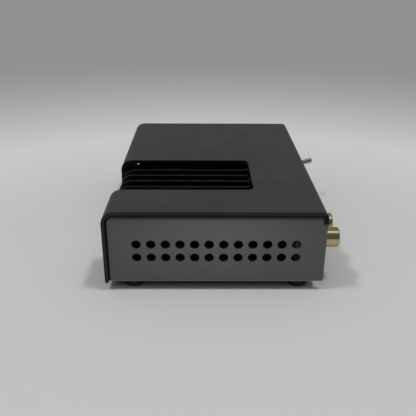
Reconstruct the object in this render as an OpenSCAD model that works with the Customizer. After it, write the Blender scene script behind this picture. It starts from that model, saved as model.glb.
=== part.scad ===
// Small desktop headphone amplifier in a folded sheet-metal case.
// The top cover is one sheet that bends down into the front wall and into a short lip at the
// back. A cut-out in it wraps over the front bend and bares the four fins of the heat sink.
// The tray is a second sheet: floor, two vented sides and a back wall set in under the lip.
// Origin: on the ground, in the middle of the outline. The front looks along -Y, +Z is up.

/* [Case] */
// Width over the top cover
case_w = 127; // [123:0.5:134]
// Depth from the front face to the back of the rear lip
case_d = 88.9; // [87:0.1:98]
// Height of the case without its feet
case_h = 31.7; // [31:0.1:36]
// Gap at every seam between the cover and the tray
seam_gap = 0.25; // [0.15:0.05:0.35]

/* [Top cover] */
// Thickness of the cover sheet
cover_t = 1.6; // [1.2:0.1:2]
// Outer radius of the bend between the top and the front wall
front_bend_r = 5.2; // [4:0.1:6]
// Outer radius of the bend between the top and the rear lip
rear_bend_r = 2.7; // [2.5:0.1:3.5]
// How far the rear lip hangs below the top face
lip_drop = 5.2; // [4.5:0.1:7]
// How far the cover's side edges stand out past the tray
side_overhang = 0.6; // [0.2:0.1:1]
// Radius on the bare ends of the cover sheet
sheet_end_r = 0.6; // [0.3:0.05:0.6]

/* [Cut-out] */
// Width of the cut-out
cutout_w = 37.6; // [36:0.2:40]
// Centre of the cut-out to the right of the middle
cutout_x = 21.5; // [20.5:0.5:23]
// Length of the cut-out from the front face backwards
cutout_len = 61.4; // [50:0.2:64]
// How far the cut-out runs down the front wall
cutout_drop = 20; // [14:0.5:20]
// Corner radius of the cut-out
cutout_r = 3; // [1:0.5:5]

/* [Heat sink] */
// Number of fins
fin_count = 4; // [3:1:4]
// Distance from fin to fin
fin_pitch = 7.05; // [6:0.05:7.4]
// Thickness of a fin
fin_t = 0.9; // [0.7:0.1:1.4]
// Gap between the fins and the inside of the cover
fin_gap = 0.3; // [0.3:0.05:0.6]
// Gap between the back of the fins and the end of the cut-out
fin_end_gap = 0.9; // [0.5:0.1:2]
// Radius of the fins' upper front corners
fin_front_r = 5.6; // [4:0.1:7]
// Height of the sink's plate above the circuit board
sink_lift = 4; // [3.5:0.1:5]
// Thickness of the sink's plate
sink_plate_t = 2.5; // [2:0.1:3.5]
// Width of the two legs of the sink
sink_leg_w = 4.6; // [4:0.1:5.5]
// Plate left outside the outer fins
sink_margin = 3; // [2:0.1:4]
// Distance of the sink's screws from its ends
sink_screw_inset = 8; // [6:0.5:12]
// Diameter of the sink's screws
sink_screw_d = 2.5; // [2:0.1:2.6]
// Diameter of their heads
sink_head_d = 4.4; // [4:0.1:5]
// Height of their heads
sink_head_h = 1.4; // [1.2:0.1:1.8]

/* [Tray] */
// Thickness of the tray sheet
tray_t = 1; // [0.8:0.1:1.3]
// Outer radius of the tray's bends
tray_bend_r = 1.5; // [1.4:0.1:2.2]
// Radius of the tray's lower front corners
tray_corner_r = 1; // [0.5:0.1:1.5]
// Slit between the back wall and each side
tray_slit = 0.2; // [0.1:0.05:0.3]

/* [Side vents] */
// Holes in a row
vent_count = 12; // [8:1:12]
// Rows of holes
vent_rows = 2; // [1:1:2]
// Diameter of a hole
vent_d = 3.8; // [3:0.1:4.2]
// Distance from hole to hole along a row
vent_pitch = 5.8; // [5:0.05:6]
// Distance from row to row
vent_row_gap = 5.85; // [5:0.05:6.5]
// Height of the lower row above the tray's underside
vent_height = 11.5; // [9:0.1:13]
// How far the rows sit behind the middle of the case
vent_shift = 0.8; // [-1:0.1:2]

/* [Feet] */
// Height of a foot
foot_h = 3.5; // [2.6:0.1:5]
// Largest diameter of a foot
foot_d = 9.6; // [8:0.1:10]
// Centre of a foot from the side of the cover
foot_side_inset = 7.2; // [6.5:0.1:8]
// Centre of a front foot from the front face
foot_front_inset = 11.1; // [11:0.1:13]
// Centre of a rear foot from the back of the case
foot_rear_inset = 9.5; // [9:0.1:11]

/* [Circuit board] */
// Height of the stand-offs under the board
standoff_h = 3; // [2.6:0.1:4]
// Diameter of a stand-off
standoff_d = 6; // [5:0.1:7]
// Thickness of the board
board_t = 1.6; // [1.2:0.1:2]
// Gap between the board's edge and the tray
board_gap = 0.6; // [0.4:0.1:1.2]
// Board left clear beside each side wall
board_side_gap = 3.9; // [2:0.1:4.5]
// Centre of the board's screws from its side edges
board_screw_inset = 7; // [6:0.5:8]
// Distance of the board's screws before and behind the middle
board_screw_y = 22; // [21:0.5:24]

/* [Screws and pillars] */
// Diameter of the screws in the case and the board
screw_d = 3; // [2.5:0.1:3]
// Diameter of a screw head
screw_head_d = 5; // [4.6:0.1:5.2]
// Height of a screw head
screw_head_h = 1.6; // [1.2:0.1:2]
// Play of a screw in its hole, all round
screw_play = 0.15; // [0.1:0.05:0.3]
// Width across the flats of the pillars that carry the cover
pillar_w = 5; // [4.6:0.1:5]
// Depth of the thread in a pillar
pillar_thread = 8; // [6:0.5:10]
// Centre of a front pillar from the side of the cover
pillar_side_inset = 14.5; // [14.2:0.1:15]
// Gap between a pillar and the start of the front bend
pillar_bend_gap = 0.1; // [0.1:0.1:0.6]
// Centre of a rear pillar from the inside of the back wall
pillar_rear_inset = 4.2; // [3.6:0.1:6]
// Gap between the right rear pillar and the phono sockets' moulding
pillar_block_gap = 3.5; // [2.5:0.1:4]

/* [Phono sockets] */
// Outer diameter of a socket's shell
rca_shell_d = 8.4; // [8.2:0.05:8.6]
// Wall of the shell
rca_shell_t = 0.6; // [0.4:0.05:0.8]
// How far the shell's collar, which lies in the wall's hole, stands out round it
rca_collar = 0.4; // [0.3:0.05:0.6]
// How far the shells stand out of the back wall
rca_reach = 9; // [7.5:0.1:10]
// Distance between the two sockets
rca_pitch = 14; // [13:0.1:15]
// Centre of the outer socket from the side of the cover
rca_inset = 11.3; // [11:0.1:12.5]
// Height of the sockets and of the power switch above the board
rca_height = 9.9; // [9:0.1:10.2]
// Diameter of the hole for a plug's pin
rca_pin_d = 3.2; // [3.1:0.05:3.4]
// How far the insulator sits inside the shell's mouth
rca_recess = 1.5; // [0.8:0.1:2.5]
// Depth of the moulded body behind the wall
rca_body_d = 8; // [7:0.1:9]
// Moulded body left round the centre of each socket
rca_block_r = 5; // [4.8:0.1:5.4]
// Depth of the notch between the sockets in the top of the moulding
rca_notch = 3; // [2:0.1:4]
// Wall of the contact that grips a plug's pin
rca_contact_t = 0.3; // [0.2:0.05:0.4]
// How far a contact reaches into the moulding
rca_contact_tail = 3; // [2:0.1:4]
// Length of the slot in a contact
rca_contact_slot = 3; // [2:0.1:5]

/* [Power switch] */
// Centre of the switch from the side of the cover
switch_inset = 27; // [26.5:0.1:28]
// Diameter of the threaded bushing
bushing_d = 6; // [5.5:0.1:6.4]
// How far the bushing stands out of the back wall
bushing_reach = 4; // [3.8:0.1:5]
// Diameter of the ball that the lever tilts on
ball_d = 3.8; // [3.4:0.1:3.8]
// Running clearance round the ball
ball_play = 0.05; // [0.02:0.01:0.1]
// Distance from the back wall to the lever's pivot
pivot_out = 1.8; // [1.7:0.1:2]
// Distance from the pivot to the middle of the lever's round tip
lever_len = 10.7; // [8:0.1:12]
// Diameter of the lever's tip
lever_tip_d = 2.9; // [2.4:0.1:3.2]
// Diameter of the lever at the ball
lever_neck_d = 1.9; // [1.5:0.1:2]
// Tilt of the lever above or below its middle position
lever_tilt = 13.8; // [8:0.2:14]
// Width across the flats of the nut
switch_nut_w = 8; // [7.6:0.1:8.4]
// Thickness of the nut
switch_nut_t = 2; // [1.5:0.1:2.2]
// Width of the switch's moulded case
switch_w = 9.2; // [8.4:0.1:9.6]
// Depth of the switch's moulded case behind the wall
switch_depth = 8.6; // [8:0.1:10]

/* [Power inlet] */
// Centre of the inlet from the side of the cover
inlet_inset = 12.5; // [12:0.1:13.5]
// Diameter of the plug hole
inlet_bore_d = 6.2; // [5.8:0.1:6.4]
// Diameter of the centre pin
inlet_pin_d = 2.1; // [2:0.1:2.5]
// Height of the plug hole above the board
inlet_height = 6.5; // [6:0.1:7.5]
// Depth of the plug hole
inlet_depth = 9.5; // [9:0.1:10]
// Diameter of the round snout that fills the hole in the wall
inlet_snout_d = 8.4; // [8:0.1:8.8]
// Width of the moulded body
inlet_w = 9.4; // [9:0.1:10]
// Depth of the moulded body behind the wall
inlet_len = 12; // [11:0.1:13]

/* [Headphone socket] */
// Centre of the socket to the left of the middle
jack_inset = 10; // [9.8:0.1:10.4]
// Diameter of the plug hole
jack_bore_d = 6.4; // [6.36:0.02:6.5]
// Depth of the plug hole behind the front wall
jack_depth = 26; // [24:0.5:27]
// Length of the socket's body behind the front wall
jack_len = 28; // [27.5:0.5:29]
// Width of the socket's body
jack_w = 15; // [12:0.5:16]
// Height of the plug hole above the board
jack_height = 6; // [5.6:0.1:6.2]
// Outer diameter of the threaded sleeve
jack_sleeve_d = 9; // [8.4:0.1:9.4]
// Width across the flats of the nut
jack_nut_w = 11; // [10.5:0.1:12]
// Thickness of the nut
jack_nut_t = 1.7; // [1.2:0.1:2]
// Front wall to the first window in the roof of the socket
jack_window_first = 5; // [4.5:0.1:6]
// Distance from window to window
jack_window_pitch = 7; // [6.9:0.1:7.5]
// Length of a window
jack_window_len = 5; // [4.5:0.1:5.2]
// Width of a window
jack_window_w = 4; // [3.5:0.1:5]

/* [Volume wheel] */
// Diameter of the wheel
wheel_d = 20; // [19:0.2:21]
// Thickness of the wheel
wheel_t = 3.6; // [3:0.1:4]
// How far the wheel stands out of the front wall
wheel_proud = 3; // [2:0.1:3.4]
// Distance from the wheel's rim to the centre of the left front pillar
wheel_clear = 5; // [4.5:0.1:7]
// Gap between the wheel and its slot
wheel_gap = 0.5; // [0.3:0.1:0.8]
// Grooves round the rim
groove_count = 48; // [30:2:56]
// Diameter of a groove
groove_d = 0.8; // [0.5:0.1:0.9]
// Diameter of the spindle
spindle_d = 3; // [2.6:0.1:3.2]
// Running clearance round the spindle
spindle_play = 0.05; // [0.02:0.01:0.1]
// Width of the potentiometer under the wheel
pot_w = 9.2; // [8.6:0.1:10]
// Height of the potentiometer
pot_h = 3.6; // [3.2:0.1:3.6]

/* [Power light] */
// Centre of the light from the side of the cover
light_inset = 13.5; // [12:0.5:15]
// Diameter of the light's lens
light_d = 3; // [2.6:0.1:3.2]
// Length of the lens behind the front wall
light_len = 2; // [1.5:0.1:2.4]

/* [Power supply and amplifier] */
// Diameter of a filter capacitor
cap_d = 12.5; // [10:0.5:13]
// Height of a filter capacitor
cap_h = 20; // [16:0.5:21]
// Distance between the filter capacitors, both ways
cap_pitch = 15; // [14.5:0.1:15.5]
// Gap between the relay and the nearer capacitors
cap_gap = 3.25; // [2.5:0.05:4]
// How far the capacitors sit behind the middle of the case
cap_shift = 4; // [2:0.5:5]
// Width of an output chip
chip_w = 10; // [8:0.5:14]
// Length of an output chip
chip_len = 12; // [8:0.5:14]
// Height of an output chip
chip_h = 3.5; // [2.5:0.1:3.5]
// Centre of an output chip from the end of the heat sink
chip_inset = 16; // [15:0.5:20]
// Rim of an output chip that its thermal pad leaves bare
pad_rim = 0.5; // [0.2:0.1:1]
// Width of the muting relay
relay_w = 14; // [12:0.5:15]
// Length of the muting relay
relay_len = 10; // [8:0.5:11]
// Height of the muting relay
relay_h = 9; // [7:0.5:12]
// Gap between the headphone socket and the relay
relay_gap = 3; // [2:0.1:4]
// Width of the bridge rectifier
bridge_w = 8.4; // [7:0.1:9]
// Length of the bridge rectifier
bridge_len = 6.4; // [5:0.1:7]
// Height of the bridge rectifier
bridge_h = 3.4; // [2.5:0.1:4]
// Gap between the capacitors and the bridge rectifier
bridge_gap = 4.5; // [3:0.1:5]
// Width of a voltage regulator
regulator_w = 10; // [9:0.1:10.6]
// Depth of a regulator's moulded body
regulator_t = 4.4; // [4:0.1:4.8]
// Height of a regulator's moulded body
regulator_h = 9; // [8.4:0.1:9.4]
// Length of a regulator's legs
regulator_leg = 4; // [3:0.1:4.2]
// Height of a regulator's metal tab above its body
regulator_tab_h = 6; // [5:0.1:6.4]
// Thickness of the tab
regulator_tab_t = 1.3; // [1:0.1:1.4]
// Distance between the two regulators
regulator_pitch = 15; // [13:0.5:18]
// Middle of the two regulators to the left of the middle of the case
regulator_x = 4.5; // [3:0.5:6]
// Gap between the heat sink and the regulators
regulator_gap = 6; // [4:0.5:8]

/* [Hidden] */

$fn = 64;
// Extra length that lets a cut run clear of the face it opens
e = 1;

// Reach of the lever's tip past the back of the case, which sets the middle of the outline
wall_inset = cover_t + seam_gap;
lever_reach = pivot_out - wall_inset + lever_len * cos(lever_tilt) + lever_tip_d / 2;
front_y = wheel_proud - (wheel_proud + case_d + lever_reach) / 2;
rear_y = front_y + case_d;
mid_y = (front_y + rear_y) / 2;
base_z = foot_h;
top_z = base_z + case_h;
side_x = case_w / 2;

// Tray: outer faces of its sides, front edge, back wall and top edge
tray_x = side_x - side_overhang;
tray_front_y = front_y + wall_inset;
wall_y = rear_y - wall_inset;
tray_top_z = top_z - wall_inset;
floor_z = base_z + tray_t;
wall_in_y = wall_y - tray_t;
front_in_y = front_y + cover_t;

// Board: its faces and its edges
board_z = floor_z + standoff_h;
board_top = board_z + board_t;
board_x = tray_x - tray_t - board_side_gap;
board_front_y = tray_front_y + board_gap;
board_rear_y = wall_in_y - board_gap;

// Heights of the sockets and of what sits in the front wall
rca_z = board_top + rca_height;
axis_z = board_top + jack_height;
inlet_z = board_top + inlet_height;

// Places across the case
rca_x = side_x - rca_inset;
rca_xs = [rca_x - rca_pitch, rca_x];
switch_x = switch_inset - side_x;
inlet_x = inlet_inset - side_x;
foot_x = side_x - foot_side_inset;
light_x = light_inset - side_x;
jack_x = -jack_inset;
pillar_front_x = side_x - pillar_side_inset;
pillar_front_y = front_y + front_bend_r + pillar_w / 2 + pillar_bend_gap;
pillar_rear_x = rca_xs[0] - rca_block_r - pillar_block_gap - pillar_w / 2;
pillar_rear_y = wall_in_y - pillar_rear_inset;
pillar_spots = [[-pillar_front_x, pillar_front_y], [pillar_front_x, pillar_front_y],
    [-pillar_rear_x, pillar_rear_y], [pillar_rear_x, pillar_rear_y]];
board_screw_x = board_x - board_screw_inset;
board_spots = [for (sx = [-1, 1], sy = [-1, 1]) [sx * board_screw_x, mid_y + sy * board_screw_y]];

// Heat sink: its outline and its levels
sink_half = (fin_count - 1) / 2 * fin_pitch + fin_t / 2 + sink_margin;
sink_front_y = front_in_y + fin_gap;
sink_rear_y = front_y + cutout_len - fin_end_gap;
sink_plate_z = board_top + sink_lift;
fin_top_z = top_z - cover_t - fin_gap;
sink_screw_x = sink_half - sink_leg_w / 2;
sink_spots = [for (sx = [-1, 1], y = [sink_front_y + sink_screw_inset, sink_rear_y - sink_screw_inset])
    [cutout_x + sx * sink_screw_x, y]];
chip_ys = [sink_front_y + chip_inset, sink_rear_y - chip_inset];

// Lever and wheel
pivot_y = wall_y + pivot_out;
wheel_x = wheel_clear + wheel_d / 2 - pillar_front_x;
wheel_y = front_y - wheel_proud + wheel_d / 2;
wheel_z = axis_z - wheel_t / 2;
shoulder_h = 0.3;

// Power supply: two columns of two capacitors, and the bridge rectifier behind them
cap_right_x = jack_x - relay_w / 2 - cap_gap - cap_d / 2;
cap_xs = [cap_right_x - cap_pitch, cap_right_x];
cap_mid_y = mid_y + cap_shift;
cap_ys = [cap_mid_y - cap_pitch / 2, cap_mid_y + cap_pitch / 2];

// Hole through the insulator for the contact, and the play round what is pressed together
press_play = 0.05;
contact_hole_d = rca_pin_d + 2 * rca_contact_t + 2 * press_play;

// Cuts the square corner at [x, y] back to radius r; sx and sy point into the sheet
module corner_cut(x, y, sx, sy, r) {
    cx = x + sx * r;
    cy = y + sy * r;
    if (r > 0) difference() {
        translate([min(cx, x - sx * e), min(cy, y - sy * e)]) square(r + e);
        translate([cx, cy]) circle(r);
    }
}

// Rectangle from a to b with its own radius at each corner: low left, low right, top right, top left
module soft_rect(a, b, r) {
    difference() {
        translate(a) square(b - a);
        corner_cut(a[0], a[1], 1, 1, r[0]);
        corner_cut(b[0], a[1], -1, 1, r[1]);
        corner_cut(b[0], b[1], -1, -1, r[2]);
        corner_cut(a[0], b[1], 1, -1, r[3]);
    }
}

// Stands a drawing of [y, z] up and draws it out along X
module along_x(x0, x1) {
    translate([x0, 0, 0]) rotate([90, 0, 90]) linear_extrude(x1 - x0) children();
}

// Stands a drawing of [x, z] up and draws it out along Y
module along_y(y0, y1) {
    translate([0, y1, 0]) rotate([90, 0, 0]) linear_extrude(y1 - y0) children();
}

// Draws a plan of [x, y] out along Z
module along_z(z0, z1) {
    translate([0, 0, z0]) linear_extrude(z1 - z0) children();
}

// Round bar along Y
module bar_y(x, y0, y1, z, d) {
    translate([x, y0, z]) rotate([-90, 0, 0]) cylinder(h = y1 - y0, d = d);
}

// Ring or tube along Y
module tube_y(x, y0, y1, z, outer_d, inner_d) {
    difference() {
        bar_y(x, y0, y1, z, outer_d);
        bar_y(x, y0 - e, y1 + e, z, inner_d);
    }
}

// Hexagonal nut along Y
module nut_y(x, y0, y1, z, flats, inner_d) {
    difference() {
        intersection() {
            translate([x, y0, z]) rotate([-90, 0, 0])
                cylinder(h = y1 - y0, d = flats / cos(30), $fn = 6);
            translate([x, y0, z]) rotate([-90, 0, 0])
                cylinder(h = y1 - y0, d = flats * 1.1);
        }
        bar_y(x, y0 - e, y1 + e, z, inner_d);
    }
}

// Section of the cover: front wall, top and rear lip, with rounded bare ends
module cover_section() {
    difference() {
        soft_rect([front_y, base_z], [rear_y, top_z], [sheet_end_r, 0, rear_bend_r, front_bend_r]);
        soft_rect([front_in_y, base_z - e], [rear_y - cover_t, top_z - cover_t],
            [0, 0, rear_bend_r - cover_t, front_bend_r - cover_t]);
        translate([rear_y - cover_t - e, base_z - e])
            square([cover_t + 2 * e, case_h - lip_drop + e]);
        corner_cut(front_in_y, base_z, -1, 1, sheet_end_r);
        corner_cut(rear_y, top_z - lip_drop, -1, 1, sheet_end_r);
        corner_cut(rear_y - cover_t, top_z - lip_drop, 1, 1, sheet_end_r);
    }
}

// The part of the cut-out that lies in the top, and the part that lies in the front wall
module cutout_cutter() {
    left = cutout_x - cutout_w / 2;
    right = cutout_x + cutout_w / 2;
    step_z = top_z - front_bend_r - e;
    along_z(step_z, top_z + e)
        soft_rect([left, front_y - e], [right, front_y + cutout_len], [0, 0, cutout_r, cutout_r]);
    along_y(front_y - e, front_in_y + e)
        soft_rect([left, top_z - cutout_drop], [right, step_z + e], [cutout_r, cutout_r, 0, 0]);
}

// Slot in the front wall that the volume wheel stands through
module wheel_slot() {
    half = sqrt(pow(wheel_d / 2, 2) - pow(wheel_d / 2 - wheel_proud - cover_t, 2)) + wheel_gap;
    along_y(front_y - e, front_in_y + e)
        soft_rect([wheel_x - half, wheel_z - wheel_gap],
            [wheel_x + half, wheel_z + wheel_t + wheel_gap], [1, 1, 1, 1]);
}

module top_cover() {
    color("#3f403f") difference() {
        along_x(-side_x, side_x) cover_section();
        cutout_cutter();
        wheel_slot();
        bar_y(jack_x, front_y - e, front_in_y + e, axis_z, jack_sleeve_d + 2 * screw_play);
        bar_y(light_x, front_y - e, front_in_y + e, axis_z, light_d + 2 * screw_play);
    }
}

// Floor and sides of the tray as one channel, without the floor behind the rear bend
module tray_channel() {
    inner_x = tray_x - tray_t;
    inner_r = tray_bend_r - tray_t;
    flat_x = tray_x - tray_bend_r;
    difference() {
        along_y(tray_front_y, rear_y) difference() {
            soft_rect([-tray_x, base_z], [tray_x, tray_top_z], [tray_bend_r, tray_bend_r, 0, 0]);
            soft_rect([-inner_x, floor_z], [inner_x, tray_top_z + e], [inner_r, inner_r, 0, 0]);
        }
        translate([-flat_x, wall_y - tray_bend_r, base_z - e])
            cube([2 * flat_x, tray_bend_r + wall_inset + e, tray_t + 2 * e]);
    }
}

// Back wall with its bend, set in so that it passes inside the cover's lip
module tray_back_wall() {
    flat_x = tray_x - tray_bend_r;
    wall_x = tray_x - tray_t - tray_slit;
    along_x(-flat_x, flat_x) difference() {
        soft_rect([wall_y - tray_bend_r - tray_t, base_z], [wall_y, base_z + 2 * tray_bend_r],
            [0, tray_bend_r, 0, 0]);
        soft_rect([wall_y - 2 * tray_bend_r - tray_t, floor_z],
            [wall_in_y, base_z + 2 * tray_bend_r + e], [0, tray_bend_r - tray_t, 0, 0]);
    }
    along_x(-wall_x, wall_x)
        soft_rect([wall_in_y, base_z + tray_bend_r], [wall_y, tray_top_z], [0, 0, 0, 0]);
}

// Side view of the tray: it follows the inside of the cover, and its sides reach back below the lip
module tray_outline() {
    soft_rect([tray_front_y, base_z], [wall_y, tray_top_z],
        [tray_corner_r, 0, rear_bend_r - wall_inset, front_bend_r - wall_inset]);
    soft_rect([wall_y - tray_bend_r, base_z], [rear_y, top_z - lip_drop - seam_gap],
        [0, tray_bend_r, sheet_end_r, 0]);
}

// Rows of round holes through both sides
module side_vents() {
    for (row = [0 : vent_rows - 1], i = [0 : vent_count - 1]) {
        y = mid_y + vent_shift + (i - (vent_count - 1) / 2) * vent_pitch;
        z = base_z + vent_height + row * vent_row_gap;
        translate([-tray_x - e, y, z]) rotate([0, 90, 0]) cylinder(h = 2 * (tray_x + e), d = vent_d);
    }
}

// Small open corners where the floor's three bends would meet
module corner_reliefs() {
    notch_y = tray_bend_r + 0.3;
    for (s = [-1, 1])
        translate([s * (tray_x - (tray_bend_r + tray_t) / 2), wall_y - notch_y / 2 + 0.05, base_z])
            cube([tray_bend_r - tray_t, notch_y + 0.1, 2 * notch_y], center = true);
}

module chassis_tray() {
    color("#525450") difference() {
        intersection() {
            union() {
                tray_channel();
                tray_back_wall();
            }
            along_x(-side_x, side_x) tray_outline();
        }
        corner_reliefs();
        side_vents();
        for (x = rca_xs)
            bar_y(x, wall_in_y - e, wall_y + e, rca_z, rca_shell_d + 2 * (rca_collar + press_play));
        bar_y(switch_x, wall_in_y - e, wall_y + e, rca_z, bushing_d + 2 * screw_play);
        bar_y(inlet_x, wall_in_y - e, wall_y + e, inlet_z, inlet_snout_d + 2 * screw_play);
        for (p = pillar_spots) translate([p[0], p[1], base_z - e])
            cylinder(h = tray_t + 2 * e, d = screw_d + 2 * screw_play);
    }
}

// Threaded hexagon pillars between the tray's floor and the cover
module cover_pillars() {
    color("#2a2a2c") for (p = pillar_spots) translate([p[0], p[1], floor_z]) difference() {
        cylinder(h = top_z - cover_t - floor_z, d = pillar_w / cos(30), $fn = 6);
        translate([0, 0, -e]) cylinder(h = pillar_thread + e, d = screw_d + 2 * screw_play);
    }
}

// Screw that points up from a head below z, with a cross slot in the head's free face
module screw_up(z, shank) {
    difference() {
        union() {
            translate([0, 0, z - screw_head_h]) cylinder(h = screw_head_h, d = screw_head_d);
            translate([0, 0, z - e]) cylinder(h = shank + e, d = screw_d);
        }
        for (a = [0, 90]) rotate(a) translate([0, 0, z - screw_head_h])
            cube([screw_head_d * 0.6, 0.7, screw_head_h], center = true);
    }
}

module cover_screws() {
    color("#8d8f92") for (p = pillar_spots)
        translate([p[0], p[1], 0]) screw_up(base_z, tray_t + pillar_thread - 2);
}

// Rubber foot: a low dome with a chamfered edge, and a shallow hollow underneath
module foot(x, y) {
    r = foot_d / 2;
    color("#141414") translate([x, y, 0]) difference() {
        rotate_extrude() polygon([[0, 0], [r - 1.1, 0], [r - 0.5, 0.5], [r, foot_h], [0, foot_h]]);
        translate([0, 0, -e]) cylinder(h = e + 0.6, d = foot_d / 3);
    }
}

module foot_front_left() { foot(-foot_x, front_y + foot_front_inset); }
module foot_front_right() { foot(foot_x, front_y + foot_front_inset); }
module foot_rear_left() { foot(-foot_x, rear_y - foot_rear_inset); }
module foot_rear_right() { foot(foot_x, rear_y - foot_rear_inset); }

module circuit_board() {
    color("#1d2b22") difference() {
        along_z(board_z, board_top)
            soft_rect([-board_x, board_front_y], [board_x, board_rear_y], [1, 1, 1, 1]);
        for (p = pillar_spots) translate([p[0], p[1], board_z - e])
            cylinder(h = board_t + 2 * e, d = pillar_w / cos(30) + 1);
        for (p = board_spots) translate([p[0], p[1], board_z - e])
            cylinder(h = board_t + 2 * e, d = screw_d + 2 * screw_play);
        for (p = sink_spots) translate([p[0], p[1], board_z - e])
            cylinder(h = board_t + 2 * e, d = sink_screw_d + 2 * screw_play);
    }
}

// Round stand-offs pressed into the tray's floor
module board_standoffs() {
    color("#9a9c9e") for (p = board_spots) translate([p[0], p[1], floor_z]) difference() {
        cylinder(h = standoff_h, d = standoff_d);
        translate([0, 0, -e]) cylinder(h = standoff_h + 2 * e, d = screw_d + 2 * screw_play);
    }
}

module board_screws() {
    color("#8d8f92") for (p = board_spots) translate([p[0], p[1], board_top])
        rotate([180, 0, 0]) screw_up(0, board_t + standoff_h - 0.3);
}

// Extruded section of the heat sink: plate on two legs, with upright fins
module sink_section() {
    translate([cutout_x - sink_half, sink_plate_z]) square([2 * sink_half, sink_plate_t]);
    for (s = [-1, 1]) translate([cutout_x + s * sink_screw_x - sink_leg_w / 2, board_top])
        square([sink_leg_w, sink_lift + sink_plate_t]);
    for (i = [0 : fin_count - 1])
        translate([cutout_x + (i - (fin_count - 1) / 2) * fin_pitch - fin_t / 2, sink_plate_z])
            square([fin_t, fin_top_z - sink_plate_z]);
}

// The section is drawn out along Y, and its front top corner follows the cover's bend
module heat_sink() {
    color("#161616") difference() {
        intersection() {
            along_y(sink_front_y, sink_rear_y) sink_section();
            along_x(cutout_x - sink_half - e, cutout_x + sink_half + e)
                soft_rect([sink_front_y, board_top], [sink_rear_y, fin_top_z], [0, 0, 0, fin_front_r]);
        }
        for (p = sink_spots) translate([p[0], p[1], board_top - e])
            cylinder(h = sink_lift + e, d = sink_screw_d + 2 * screw_play);
    }
}

// Screws that come up through the board into the legs of the heat sink
module sink_screws() {
    color("#8d8f92") for (p = sink_spots) translate([p[0], p[1], board_z]) {
        translate([0, 0, -sink_head_h]) cylinder(h = sink_head_h, d = sink_head_d);
        translate([0, 0, -0.1]) cylinder(h = board_t + sink_lift - 0.4, d = sink_screw_d);
    }
}

module output_chip(y) {
    half = [chip_w / 2, chip_len / 2];
    color("#1b1b1d") along_z(board_top, board_top + chip_h)
        translate([cutout_x, y]) soft_rect(-half, half, [0.5, 0.5, 0.5, 0.5]);
}

module output_chip_left() { output_chip(chip_ys[0]); }
module output_chip_right() { output_chip(chip_ys[1]); }

// Grey pads that fill the gap between each chip and the plate above it
module thermal_pads() {
    color("#7f8a92") for (y = chip_ys)
        translate([cutout_x, y, (board_top + chip_h + sink_plate_z) / 2])
            cube([chip_w - 2 * pad_rim, chip_len - 2 * pad_rim, sink_lift - chip_h], center = true);
}

// One moulding carries both phono sockets, with a notch between them that leaves a rear web
module rca_body() {
    half = rca_pitch / 2 + rca_block_r;
    mid = rca_x - rca_pitch / 2;
    top = rca_z + rca_block_r;
    notch_w = rca_pitch - 2 * rca_block_r + 0.6;
    web = 1.5;
    color("#2b2c2e") difference() {
        along_x(mid - half, mid + half)
            soft_rect([wall_in_y - rca_body_d, board_top], [wall_in_y, top], [0, 0, 0.4, 1.5]);
        translate([mid - notch_w / 2, wall_in_y - rca_body_d - e, top - rca_notch])
            cube([notch_w, rca_body_d - web + e, rca_notch + e]);
        for (x = rca_xs)
            bar_y(x, wall_in_y - rca_contact_tail, wall_in_y + e, rca_z, contact_hole_d);
    }
}

// Turned shell with a chamfered mouth and a collar that centres it in the wall
module rca_shell(x) {
    r = rca_shell_d / 2;
    bore = r - rca_shell_t;
    rim = r + rca_collar;
    len = rca_reach + tray_t;
    ch = 0.4;
    color("#b39a5a") translate([x, wall_in_y, rca_z]) rotate([-90, 0, 0]) rotate_extrude()
        polygon([[bore, 0], [rim, 0], [rim, tray_t], [r, tray_t], [r, len - ch], [r - ch, len],
            [bore, len]]);
}

module rca_insulator(x, tint) {
    color(tint) tube_y(x, wall_in_y, wall_y + rca_reach - rca_recess, rca_z,
        rca_shell_d - 2 * rca_shell_t - 2 * press_play, contact_hole_d);
}

// Slotted tube that grips the plug's pin
module rca_contact(x) {
    y0 = wall_in_y - rca_contact_tail;
    y1 = wall_y + rca_reach - rca_recess - 0.4;
    color("#b39a5a") difference() {
        bar_y(x, y0, y1, rca_z, rca_pin_d + 2 * rca_contact_t);
        bar_y(x, y0 + 0.5, y1 + e, rca_z, rca_pin_d);
        translate([x, y1, rca_z])
            cube([0.4, 2 * rca_contact_slot, rca_pin_d * 2], center = true);
    }
}

module rca_shell_left() { rca_shell(rca_xs[0]); }
module rca_shell_right() { rca_shell(rca_xs[1]); }
module rca_insulator_left() { rca_insulator(rca_xs[0], "#e6e4de"); }
module rca_insulator_right() { rca_insulator(rca_xs[1], "#a3231e"); }
module rca_contact_left() { rca_contact(rca_xs[0]); }
module rca_contact_right() { rca_contact(rca_xs[1]); }

// Moulded case of the switch, with the metal yoke's step round its top
module switch_body() {
    half = switch_w / 2;
    color("#8a2f24") along_x(switch_x - half, switch_x + half)
        soft_rect([wall_in_y - switch_depth, board_top], [wall_in_y, rca_z + half],
            [0, 0, 0.4, 0.8]);
}

// Threaded bushing: wide bore for the ball, narrower mouth that keeps it in
module switch_bushing() {
    lip_y = pivot_y + 0.66 * ball_d / 2;
    bore_d = ball_d + 2 * ball_play;
    color("#b8b6b0") difference() {
        bar_y(switch_x, wall_in_y, wall_y + bushing_reach, rca_z, bushing_d);
        bar_y(switch_x, wall_in_y - e, lip_y, rca_z, bore_d);
        bar_y(switch_x, wall_in_y, wall_y + bushing_reach + e, rca_z, bore_d - 0.4);
    }
}

module switch_nut() {
    color("#b8b6b0")
        nut_y(switch_x, wall_y, wall_y + switch_nut_t, rca_z, switch_nut_w, bushing_d);
}

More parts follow.
